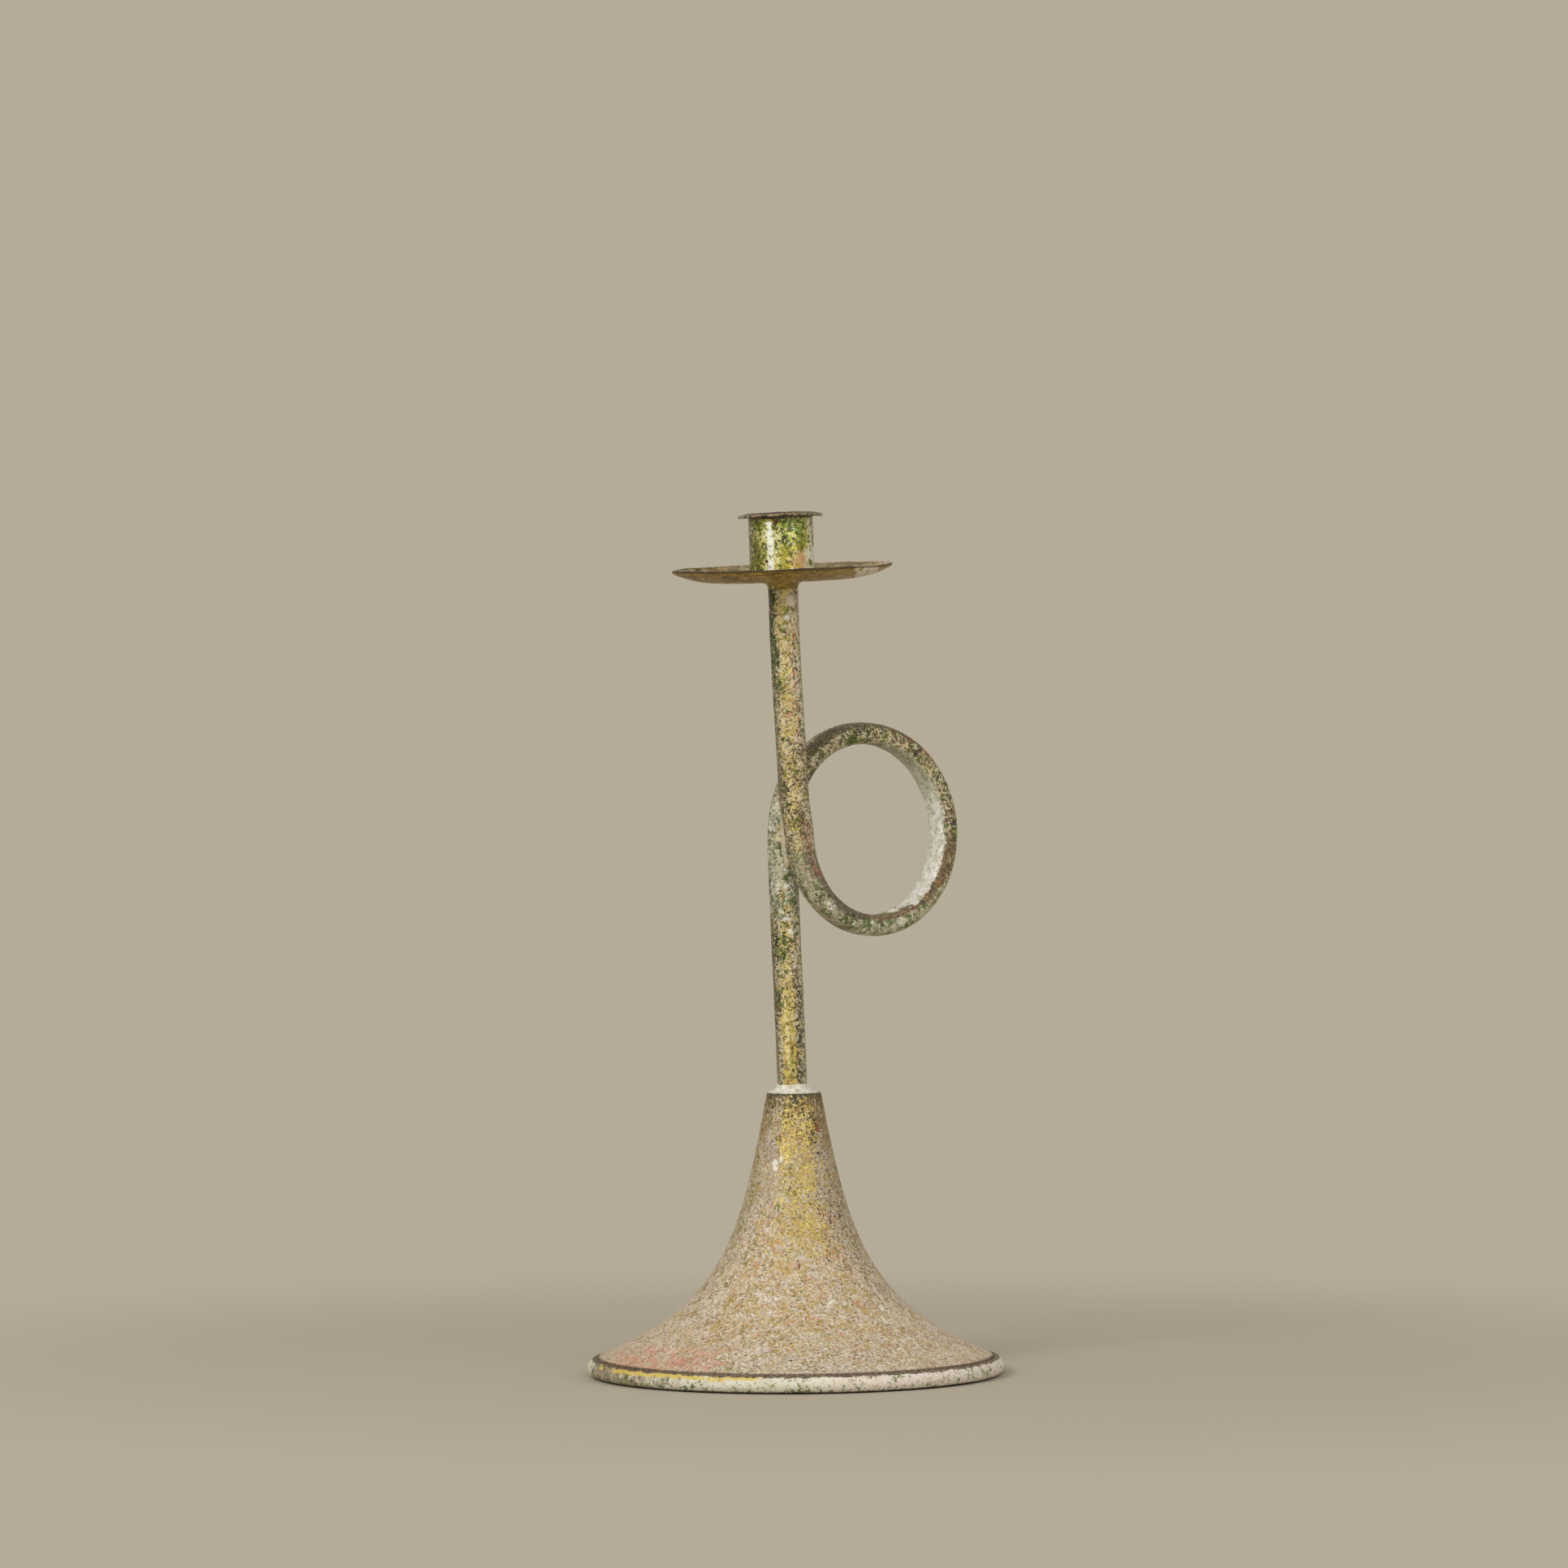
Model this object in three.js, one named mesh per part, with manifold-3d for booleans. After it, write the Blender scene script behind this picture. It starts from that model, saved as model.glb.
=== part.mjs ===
// Taper candle holder in the shape of a coiled post horn.
// The horn stands on its bell. A round tube rises from the bell, makes one full loop, passes
// beside itself and goes on up to a shallow drip pan with a candle cup.
// Frame: the origin is on the table at the centre of the bell, +Z is up, and the loop is towards +X.
import * as THREE from 'three';
import Module from 'manifold-3d';
import { mergeVertices } from 'three/addons/utils/BufferGeometryUtils.js';

const wasm = await Module();
wasm.setup();

// Driving dimensions, in millimetres, with angles in degrees and shares from 0 to 1.

// Clearances
const SEAT_GAP = 0.3;
const CROSSING_GAP = 0.4;

// Bell, the spun sheet that stands on its mouth
const BELL_MOUTH_RADIUS = 84.3;
const BELL_HEIGHT = 111.3;
const BELL_SHEET = 1.0;
const NECK_RADIUS = 11.55;
const NECK_HANDLE_OUT = 11.0;
const NECK_HANDLE_DOWN = 58.4;
const MOUTH_HANDLE_IN = 49.4;
const MOUTH_HANDLE_UP = 20.8;

// Rolled rim of the bell, curled down and under round a wire
const RIM_BEAD_RADIUS = 3.65;
const RIM_FLAT_WIDTH = 1.6;
const RIM_CREASE_DEPTH = 0.45;
const RIM_CREASE_HALF_ANGLE = 8;
const RIM_CREASE_INSET = 0.84;
const RIM_CURL_END = 145;
const RIM_CURL_ROOT = 112;

// Disc that closes the bell's neck
const CAP_EDGE_TAPER = 0.55;
const CAP_THICKNESS = 3.0;
const CAP_SPIGOT_DEPTH = 3.0;
const CAP_EDGE_CHAMFER = 0.4;

// Bent tube, which the bend flattens
const TUBE_RADIUS = 6.0;
const TUBE_WALL = 1.0;
const TUBE_BELOW_CAP = 4.0;
const FLATTENED_HALF_THICKNESS = 4.4;
const FLATTENING_RUN = 35;
const FLATTENING_LEAD = 12;
const SECTION_SQUARENESS = 2.4;

// Route of the tube
const FOOT_OFFSET = -0.56;
const LOWER_STEM_LEAN = 2.52;
const UPPER_STEM_LEAN = 3.36;
const HEAD_LEAN = 2.1;
const LOOP_CENTRE_ABOVE_CAP = 106.0;
const LOOP_HALF_WIDTH = 37.1;
const LOOP_HALF_HEIGHT = 38.8;
const LOOP_DRIFT = 0.7;
const LOOP_START_ANGLE = 5.5;
const LOOP_END_ANGLE = 337;
const LOOP_FLAT_SHARE = 0.07;
const UPPER_STEM_SHIFT = -1.65;
const UPPER_BLEND_HEIGHT = 15.8;
const LOWER_BLEND_DEPTH = 15.4;
const STEM_TOP_ABOVE_LOOP = 100.85;

// Welds and braze
const FOOT_WELD_LEG = 3.3;
const BRAZE_HALF_HEIGHT = 14;
const BRAZE_ABOVE_LOOP_CENTRE = 0.7;
const BRAZE_HALF_DEPTH = 2.4;
const BRAZE_HALF_WIDTH = 3.6;
const BRAZE_CENTRE_OUT = 2.3;

// Flared collar under the pan
const COLLAR_HEIGHT = 2.5;
const COLLAR_FLARE = 2.6;
const COLLAR_WALL = 0.45;

// Drip pan, its side given as shares of its run and rise from the flat floor to the lip
const PAN_RADIUS = 44.4;
const PAN_FLOOR_RADIUS = 24;
const PAN_DEPTH = 5.7;
const PAN_SHEET = 1.0;
const PAN_LIP_HEIGHT = 1.3;
const PAN_LIP_INSET = 0.7;
const PAN_SIDE_LEAVES_FLOOR = 0.45;
const PAN_SIDE_MEETS_LIP = 0.7;
const PAN_SIDE_RISE = 0.42;

// Candle cup
const CUP_BORE_RADIUS = 12.0;
const CUP_WALL = 1.0;
const CUP_FLOOR = 1.2;
const CUP_HEIGHT = 26.1;
const CUP_CORNER = 1.2;
const FLANGE_WIDTH = 4.1;
const FLANGE_THICKNESS = 1.1;

// Screw that clamps cup and pan to the stem, its washer, and the plug that takes its thread
const SCREW_RADIUS = 2.0;
const SCREW_HEAD_RADIUS = 3.9;
const SCREW_HEAD_HEIGHT = 1.9;
const SCREW_HEAD_EDGE = 0.9;
const SCREW_REACH = 13;
const SCREW_TIP_CHAMFER = 0.6;
const SCREW_SLOT_WIDTH = 1.0;
const SCREW_SLOT_DEPTH = 0.9;
const WASHER_RADIUS = 5.2;
const WASHER_THICKNESS = 0.8;
const PLUG_LENGTH = 14;
const PLUG_END_ROOM = 1.0;

// Facets
const BELL_SIDES = 56;
const PAN_SIDES = 48;
const CUP_SIDES = 40;
const SMALL_SIDES = 32;
const SCREW_SIDES = 16;
const TUBE_SIDES = 14;
const FLARE_STEPS = 13;
const INNER_FLARE_STEPS = 8;
const BEAD_STEPS = 4;
const PAN_STEPS = 7;
const CORNER_STEPS = 3;
const DOME_STEPS = 3;
const LOOP_STEPS = 38;
const BEND_STEPS = 5;
const STRAIGHT_STEPS = 3;

// Finishes
const BELL_PAINT = { color: 0xbfb193, roughness: 0.6, metalness: 0.3 };
const CAP_PAINT = { color: 0x6b5f3c, roughness: 0.55, metalness: 0.5 };
const WELD_PAINT = { color: 0xcfc8b6, roughness: 0.6, metalness: 0.3 };
const STEM_PAINT = { color: 0xb9ab7c, roughness: 0.5, metalness: 0.45 };
const COLLAR_PAINT = { color: 0xa69a55, roughness: 0.55, metalness: 0.45 };
const PAN_PAINT = { color: 0x8c7d46, roughness: 0.55, metalness: 0.45 };
const CUP_PAINT = { color: 0x9aa04c, roughness: 0.32, metalness: 0.75 };
const STEEL = { color: 0x857f74, roughness: 0.5, metalness: 0.8 };

// Sizes that follow from the ones above
const RIM_CENTRE_RADIUS = BELL_MOUTH_RADIUS - RIM_BEAD_RADIUS;
const RIM_CENTRE_HEIGHT = Math.sqrt(RIM_BEAD_RADIUS ** 2 - (RIM_FLAT_WIDTH / 2) ** 2);
const CAP_TOP = BELL_HEIGHT + CAP_THICKNESS;
const LOOP_CENTRE_HEIGHT = CAP_TOP + LOOP_CENTRE_ABOVE_CAP;
const FLATTENED_HALF_WIDTH =
  FLATTENED_HALF_THICKNESS + (TUBE_RADIUS - FLATTENED_HALF_THICKNESS) * (Math.PI / 2);
const STEM_PITCH = TUBE_RADIUS + FLATTENED_HALF_WIDTH + CROSSING_GAP;
const SOCKET_STRAIGHT = PLUG_LENGTH + PLUG_END_ROOM;
const SCREW_HOLE_RADIUS = SCREW_RADIUS + SEAT_GAP;

const rad = THREE.MathUtils.degToRad;
const { lerp, smoothstep } = THREE.MathUtils;

// Shape helpers

// A closed mesh with shared corners and no empty triangles, turned so that its faces point out.
function closedMesh(geometry) {
  for (const name of ['normal', 'uv']) geometry.deleteAttribute(name);
  const merged = mergeVertices(geometry, 1e-4);
  const index = merged.index.array;
  const position = merged.attributes.position;
  const [a, b, c] = [new THREE.Vector3(), new THREE.Vector3(), new THREE.Vector3()];
  const kept = [];
  let volume = 0;
  for (let i = 0; i < index.length; i += 3) {
    const [p, q, r] = index.slice(i, i + 3);
    if (p === q || q === r || r === p) continue;
    kept.push([p, q, r]);
    a.fromBufferAttribute(position, p);
    b.fromBufferAttribute(position, q);
    c.fromBufferAttribute(position, r);
    volume += a.dot(b.cross(c));
  }
  merged.setIndex(kept.flatMap(([p, q, r]) => (volume > 0 ? [p, q, r] : [p, r, q])));
  return merged;
}

// Revolves a closed profile of [radius, height] points round the Z axis.
function turned(profile, sides = SMALL_SIDES) {
  const points = [...profile, profile[0]].map(([r, z]) => new THREE.Vector2(r, z));
  return closedMesh(new THREE.LatheGeometry(points, sides).rotateX(Math.PI / 2));
}

// The [radius, height] points of a flat curve.
function curvePoints(curve, steps) {
  return curve.getPoints(steps).map(({ x, y }) => [x, y]);
}

// Points on an arc about [radius, height], from one angle to another.
function arcPoints([r, z], radius, from, to, steps) {
  return Array.from({ length: steps + 1 }, (_, i) => {
    const angle = rad(lerp(from, to, i / steps));
    return [r + radius * Math.cos(angle), z + radius * Math.sin(angle)];
  });
}

// Points moved sideways from a line of points, by a distance to the right of its travel.
function offsetPoints(points, distance) {
  return points.map(([r, z], i) => {
    const [r0, z0] = points[Math.max(i - 1, 0)];
    const [r1, z1] = points[Math.min(i + 1, points.length - 1)];
    const length = Math.hypot(r1 - r0, z1 - z0);
    return [r + (distance * (z1 - z0)) / length, z - (distance * (r1 - r0)) / length];
  });
}

function toManifold(geometry) {
  return new wasm.Manifold(new wasm.Mesh({
    numProp: 3,
    vertProperties: geometry.attributes.position.array,
    triVerts: new Uint32Array(geometry.index.array),
  }));
}

function fromManifold(manifold) {
  const mesh = manifold.getMesh();
  const geometry = new THREE.BufferGeometry();
  geometry.setAttribute('position', new THREE.BufferAttribute(mesh.vertProperties, 3));
  geometry.setIndex(new THREE.BufferAttribute(mesh.triVerts, 1));
  return geometry;
}

function cut(geometry, tool) {
  return fromManifold(toManifold(geometry).subtract(toManifold(tool)));
}

function piece(name, geometry, finish) {
  geometry.computeVertexNormals();
  const mesh = new THREE.Mesh(geometry, new THREE.MeshStandardMaterial(finish));
  mesh.name = name;
  return mesh;
}

// Route of the tube's centre line, from the pan down to the bell

// The loop in the XZ plane. It starts on the left, runs down, along the bottom, up the far side and
// back over the top, and it moves from the front plane to the back plane on the way.
class LoopCurve extends THREE.Curve {
  constructor(centreX) {
    super();
    this.centreX = centreX;
  }

  getPoint(t, target = new THREE.Vector3()) {
    const angle = rad(lerp(LOOP_START_ANGLE, LOOP_END_ANGLE, t));
    const crossed = smoothstep(t, LOOP_FLAT_SHARE, 1 - LOOP_FLAT_SHARE);
    return target.set(
      this.centreX - LOOP_HALF_WIDTH * Math.cos(angle) + LOOP_DRIFT * crossed,
      -STEM_PITCH * (1 - crossed),
      LOOP_CENTRE_HEIGHT - LOOP_HALF_HEIGHT * Math.sin(angle),
    );
  }
}

// A cubic that leaves one point along a direction and arrives at another along its direction.
function blend(from, fromDirection, to, toDirection) {
  const reach = from.distanceTo(to) / 3;
  return new THREE.CubicBezierCurve3(
    from,
    from.clone().addScaledVector(fromDirection, reach),
    to.clone().addScaledVector(toDirection, -reach),
    to,
  );
}

// A direction in the XZ plane that runs down and leans towards +X by an angle.
function downward(lean) {
  return new THREE.Vector3(Math.sin(rad(lean)), 0, -Math.cos(rad(lean)));
}

function stemRoute() {
  const lowerX = (z) => FOOT_OFFSET - (z - CAP_TOP) * Math.tan(rad(LOWER_STEM_LEAN));
  const lowerPoint = (z) => new THREE.Vector3(lowerX(z), 0, z);
  const sideX = lowerX(LOOP_CENTRE_HEIGHT);
  const upperLean = Math.tan(rad(UPPER_STEM_LEAN));
  const upperX = (z) => sideX + UPPER_STEM_SHIFT - (z - LOOP_CENTRE_HEIGHT) * upperLean;
  const upperPoint = (z) => new THREE.Vector3(upperX(z), -STEM_PITCH, z);

  const socketRise = SOCKET_STRAIGHT * Math.cos(rad(HEAD_LEAN));
  const socketEnd = upperPoint(LOOP_CENTRE_HEIGHT + STEM_TOP_ABOVE_LOOP - socketRise);
  const top = socketEnd.clone().addScaledVector(downward(HEAD_LEAN), -SOCKET_STRAIGHT);
  const upperEnd = upperPoint(LOOP_CENTRE_HEIGHT + UPPER_BLEND_HEIGHT);

  const loop = new LoopCurve(sideX + LOOP_HALF_WIDTH);
  const lowerStart = lowerPoint(LOOP_CENTRE_HEIGHT - LOWER_BLEND_DEPTH);
  const foot = lowerPoint(CAP_TOP);
  const end = lowerPoint(BELL_HEIGHT - CAP_SPIGOT_DEPTH - TUBE_BELOW_CAP);

  const socket = new THREE.LineCurve3(top, socketEnd);
  const upper = blend(socketEnd, downward(HEAD_LEAN), upperEnd, downward(UPPER_STEM_LEAN));
  const intoLoop = blend(upperEnd, downward(UPPER_STEM_LEAN), loop.getPoint(0), loop.getTangent(0));
  const outOfLoop = blend(loop.getPoint(1), loop.getTangent(1), lowerStart, downward(LOWER_STEM_LEAN));
  const runs = [
    { curve: socket, steps: STRAIGHT_STEPS },
    { curve: upper, steps: BEND_STEPS },
    { curve: intoLoop, steps: BEND_STEPS },
    { curve: loop, steps: LOOP_STEPS },
    { curve: outOfLoop, steps: BEND_STEPS },
    { curve: new THREE.LineCurve3(lowerStart, end), steps: STRAIGHT_STEPS },
  ];
  return { runs, loop, top, foot };
}

// One place on the route, with its frame: across in the loop's plane, and axial along its axis.
function stationAt(curve, t, inLoop) {
  const tangent = curve.getTangent(t);
  const axial = new THREE.Vector3(0, 1, 0).addScaledVector(tangent, -tangent.y).normalize();
  const across = new THREE.Vector3().crossVectors(tangent, axial);
  return { point: curve.getPoint(t), across, axial, inLoop };
}

// Places along the route, each with the half sizes of the tube's section there.
function routeStations({ runs, loop }) {
  const stations = [];
  for (const { curve, steps } of runs) {
    const first = stations.length ? 1 : 0;
    for (let i = first; i <= steps; i += 1) stations.push(stationAt(curve, i / steps, curve === loop));
  }
  stations.forEach((station, i) => {
    const before = stations[i - 1];
    station.length = before ? before.length + before.point.distanceTo(station.point) : 0;
  });
  const looped = stations.filter((station) => station.inLoop);
  const start = looped[0].length - FLATTENING_LEAD;
  const end = looped[looped.length - 1].length + FLATTENING_LEAD;
  for (const station of stations) {
    const fromStart = smoothstep(station.length - start, 0, FLATTENING_RUN);
    const flattened = fromStart * smoothstep(end - station.length, 0, FLATTENING_RUN);
    station.halfThickness = lerp(TUBE_RADIUS, FLATTENED_HALF_THICKNESS, flattened);
    station.halfWidth = lerp(TUBE_RADIUS, FLATTENED_HALF_WIDTH, flattened);
    station.squareness = lerp(2, SECTION_SQUARENESS, flattened);
  }
  return stations;
}

// A straight bar with one layer for each station, hollow or solid. Its outside has a radius of one
// and its bore a radius of a half, which bendAlong replaces with the tube's real sizes.
function straightBar(layers, hollow) {
  const section = new THREE.Shape().absarc(0, 0, 1, 0, 2 * Math.PI);
  if (hollow) section.holes.push(new THREE.Path().absarc(0, 0, 1 / 2, 0, 2 * Math.PI));
  return new THREE.ExtrudeGeometry(section, {
    depth: layers,
    steps: layers,
    bevelEnabled: false,
    curveSegments: TUBE_SIDES / 2,
  });
}

// A coordinate on a unit circle, moved out towards the corners of a squarer section.
function squared(coordinate, squareness) {
  return Math.sign(coordinate) * Math.abs(coordinate) ** (2 / squareness);
}

// Bends a straight bar along the stations, with its outer skin moved out by a margin.
function bendAlong(bar, stations, margin) {
  const position = bar.attributes.position;
  const vertex = new THREE.Vector3();
  for (let i = 0; i < position.count; i += 1) {
    vertex.fromBufferAttribute(position, i);
    const station = stations[Math.round(vertex.z)];
    const radius = Math.hypot(vertex.x, vertex.y);
    const inset = radius < lerp(1 / 2, 1, 1 / 2) ? TUBE_WALL : -margin;
    const out = squared(vertex.x / radius, station.squareness) * (station.halfThickness - inset);
    const side = squared(vertex.y / radius, station.squareness) * (station.halfWidth - inset);
    vertex.copy(station.point);
    vertex.addScaledVector(station.across, out).addScaledVector(station.axial, side);
    position.setXYZ(i, vertex.x, vertex.y, vertex.z);
  }
  return closedMesh(bar);
}

// Bell

function bellOuterLine() {
  const mouth = new THREE.Vector2(
    RIM_CENTRE_RADIUS - RIM_CREASE_INSET,
    RIM_CENTRE_HEIGHT + RIM_BEAD_RADIUS + RIM_CREASE_DEPTH,
  );
  const neck = new THREE.Vector2(NECK_RADIUS, BELL_HEIGHT);
  return new THREE.CubicBezierCurve(
    neck,
    new THREE.Vector2(neck.x + NECK_HANDLE_OUT, neck.y - NECK_HANDLE_DOWN),
    new THREE.Vector2(mouth.x - MOUTH_HANDLE_IN, mouth.y + MOUTH_HANDLE_UP),
    mouth,
  );
}

// The sheet runs down the outside, over a crease, round the outside of the bead to the flat that it
// stands on, and curls up inside. The inner skin follows it back.
function bellShell() {
  const line = bellOuterLine();
  const inner = offsetPoints(curvePoints(line, INNER_FLARE_STEPS), BELL_SHEET).reverse();
  inner[inner.length - 1][1] = BELL_HEIGHT;
  const centre = [RIM_CENTRE_RADIUS, RIM_CENTRE_HEIGHT];
  const halfFlat = THREE.MathUtils.radToDeg(Math.asin(RIM_FLAT_WIDTH / 2 / RIM_BEAD_RADIUS));
  const creaseAngle = 90 + RIM_CREASE_HALF_ANGLE;
  const [crease] = arcPoints(centre, RIM_BEAD_RADIUS - RIM_CREASE_DEPTH, creaseAngle, creaseAngle, 1);
  const curlEnd = RIM_CURL_END - 360;
  const profile = [
    ...curvePoints(line, FLARE_STEPS),
    crease,
    ...arcPoints(centre, RIM_BEAD_RADIUS, 90 - RIM_CREASE_HALF_ANGLE, 0, BEAD_STEPS),
    ...arcPoints(centre, RIM_BEAD_RADIUS, 0, halfFlat - 90, BEAD_STEPS).slice(1),
    ...arcPoints(centre, RIM_BEAD_RADIUS, -90 - halfFlat, curlEnd, BEAD_STEPS),
    ...arcPoints(centre, RIM_BEAD_RADIUS - BELL_SHEET, curlEnd, RIM_CURL_ROOT, 2 * BEAD_STEPS),
    ...inner,
  ];
  return piece('bell_shell', turned(profile, BELL_SIDES), BELL_PAINT);
}

function rimWire() {
  const wireRadius = RIM_BEAD_RADIUS - BELL_SHEET - SEAT_GAP;
  const ring = new THREE.TorusGeometry(RIM_CENTRE_RADIUS, wireRadius, 2 * BEAD_STEPS, BELL_SIDES);
  ring.translate(0, 0, RIM_CENTRE_HEIGHT);
  return piece('rim_wire', closedMesh(ring), STEEL);
}

// A solid bar along the straight foot of the tube, wider than the tube by the seat gap.
function footClearance(foot) {
  const radius = TUBE_RADIUS + SEAT_GAP;
  const length = 2 * (CAP_THICKNESS + CAP_SPIGOT_DEPTH + FOOT_WELD_LEG);
  const bar = new THREE.CylinderGeometry(radius, radius, length, SMALL_SIDES);
  bar.rotateX(Math.PI / 2).rotateY(-rad(LOWER_STEM_LEAN)).translate(foot.x, foot.y, foot.z);
  return closedMesh(bar);
}

function neckCap(foot) {
  const neckSlope = Math.atan2(NECK_HANDLE_OUT, NECK_HANDLE_DOWN);
  const spigotRadius = NECK_RADIUS - BELL_SHEET / Math.cos(neckSlope) - SEAT_GAP;
  const spigotEnd = BELL_HEIGHT - CAP_SPIGOT_DEPTH;
  const topRadius = NECK_RADIUS - CAP_EDGE_TAPER;
  const disc = turned([
    [0, CAP_TOP],
    [topRadius - CAP_EDGE_CHAMFER, CAP_TOP],
    [topRadius, CAP_TOP - CAP_EDGE_CHAMFER],
    [NECK_RADIUS, BELL_HEIGHT],
    [spigotRadius, BELL_HEIGHT],
    [spigotRadius, spigotEnd],
    [0, spigotEnd],
  ]);
  return piece('neck_cap', cut(disc, footClearance(foot)), CAP_PAINT);
}

function footWeld(foot) {
  const bead = turned([
    [0, 0],
    ...arcPoints([TUBE_RADIUS, 0], FOOT_WELD_LEG, 0, 90, BEAD_STEPS),
    [0, FOOT_WELD_LEG],
  ]);
  bead.translate(foot.x, foot.y, foot.z);
  return piece('foot_weld', cut(bead, footClearance(foot)), WELD_PAINT);
}

// Tube and the braze where its two runs pass each other

function stemTube(stations) {
  return piece('stem_tube', bendAlong(straightBar(stations.length - 1, true), stations, 0), STEM_PAINT);
}

// Filler in the valley between the two runs, on the side away from the loop.
function crossingBraze(stations) {
  const height = LOOP_CENTRE_HEIGHT + BRAZE_ABOVE_LOOP_CENTRE;
  const back = stations.findLast(({ point }) => point.z > height).point;
  const filler = new THREE.SphereGeometry(1, SCREW_SIDES, SCREW_SIDES);
  filler.scale(BRAZE_HALF_DEPTH, BRAZE_HALF_WIDTH, BRAZE_HALF_HEIGHT);
  filler.translate(back.x - BRAZE_CENTRE_OUT, -STEM_PITCH / 2, height);
  const tube = bendAlong(straightBar(stations.length - 1, false), stations, SEAT_GAP);
  return piece('crossing_braze', cut(closedMesh(filler), tube), WELD_PAINT);
}

// Head: what the stem carries, in a frame at the tube's top end with its axis along the tube

function panCollar() {
  const inner = TUBE_RADIUS + SEAT_GAP;
  const thin = inner + COLLAR_WALL;
  const rise = COLLAR_HEIGHT - COLLAR_WALL;
  const flare = arcPoints([0, 0], 1, 0, 90, BEAD_STEPS).map(([cosine, sine]) => [
    thin + COLLAR_FLARE * (1 - cosine),
    rise * sine - COLLAR_HEIGHT,
  ]);
  return turned([[inner, -COLLAR_HEIGHT], ...flare, [thin + COLLAR_FLARE, 0], [inner, 0]]);
}

function dripPan() {
  const lipStart = new THREE.Vector2(PAN_RADIUS - PAN_LIP_INSET, PAN_DEPTH - PAN_LIP_HEIGHT);
  const side = new THREE.CubicBezierCurve(
    new THREE.Vector2(PAN_FLOOR_RADIUS, 0),
    new THREE.Vector2(lerp(PAN_FLOOR_RADIUS, lipStart.x, PAN_SIDE_LEAVES_FLOOR), 0),
    new THREE.Vector2(lerp(PAN_FLOOR_RADIUS, lipStart.x, PAN_SIDE_MEETS_LIP), lipStart.y * PAN_SIDE_RISE),
    lipStart,
  );
  const lipMiddle = [PAN_RADIUS - PAN_LIP_INSET / 4, PAN_DEPTH - PAN_LIP_HEIGHT / 2];
  const under = [...curvePoints(side, PAN_STEPS), lipMiddle, [PAN_RADIUS, PAN_DEPTH]];
  const upper = offsetPoints(under, -PAN_SHEET).reverse();
  const hole = [[SCREW_HOLE_RADIUS, PAN_SHEET], [SCREW_HOLE_RADIUS, 0]];
  return turned([...under, ...upper, ...hole], PAN_SIDES);
}

// A pressed cup with a flat floor, a rounded corner and a thin lip turned out flat. The candle's
// seat is the ring of floor outside the washer.
function candleCup() {
  const outside = CUP_BORE_RADIUS + CUP_WALL;
  const edgeRadius = FLANGE_THICKNESS / 2;
  const edge = [outside + FLANGE_WIDTH - edgeRadius, CUP_HEIGHT - edgeRadius];
  const under = CUP_HEIGHT - FLANGE_THICKNESS;
  const mouthRadius = FLANGE_THICKNESS + CUP_WALL / 2;
  const mouth = [CUP_BORE_RADIUS + mouthRadius, CUP_HEIGHT - mouthRadius];
  return turned([
    [SCREW_HOLE_RADIUS, 0],
    ...arcPoints([outside - CUP_CORNER, CUP_CORNER], CUP_CORNER, -90, 0, CORNER_STEPS),
    [outside, under - CUP_WALL / 2],
    [outside + CUP_WALL / 2, under],
    ...arcPoints(edge, edgeRadius, -90, 90, CORNER_STEPS),
    ...arcPoints(mouth, mouthRadius, 90, 180, CORNER_STEPS),
    [CUP_BORE_RADIUS, CUP_FLOOR],
    [WASHER_RADIUS + SEAT_GAP, CUP_FLOOR],
    [SCREW_HOLE_RADIUS, CUP_FLOOR],
  ], CUP_SIDES);
}

function ring(innerRadius, outerRadius, thickness) {
  return turned([
    [innerRadius, 0],
    [outerRadius, 0],
    [outerRadius, thickness],
    [innerRadius, thickness],
  ]);
}

// A round-headed screw, its head's underside at height zero, with a straight slot.
function cupScrew() {
  const dome = arcPoints([0, 0], 1, 0, 90, DOME_STEPS).map(([cosine, sine]) => [
    SCREW_HEAD_RADIUS * cosine,
    lerp(SCREW_HEAD_EDGE, SCREW_HEAD_HEIGHT, sine),
  ]);
  const body = turned([
    [0, -SCREW_REACH],
    [SCREW_RADIUS - SCREW_TIP_CHAMFER, -SCREW_REACH],
    [SCREW_RADIUS, SCREW_TIP_CHAMFER - SCREW_REACH],
    [SCREW_RADIUS, 0],
    [SCREW_HEAD_RADIUS, 0],
    ...dome.slice(0, -1),
    [0, SCREW_HEAD_HEIGHT],
  ], SCREW_SIDES);
  const slot = new THREE.BoxGeometry(3 * SCREW_HEAD_RADIUS, SCREW_SLOT_WIDTH, 2 * SCREW_SLOT_DEPTH);
  slot.translate(0, 0, SCREW_HEAD_HEIGHT);
  return cut(body, closedMesh(slot));
}

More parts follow.
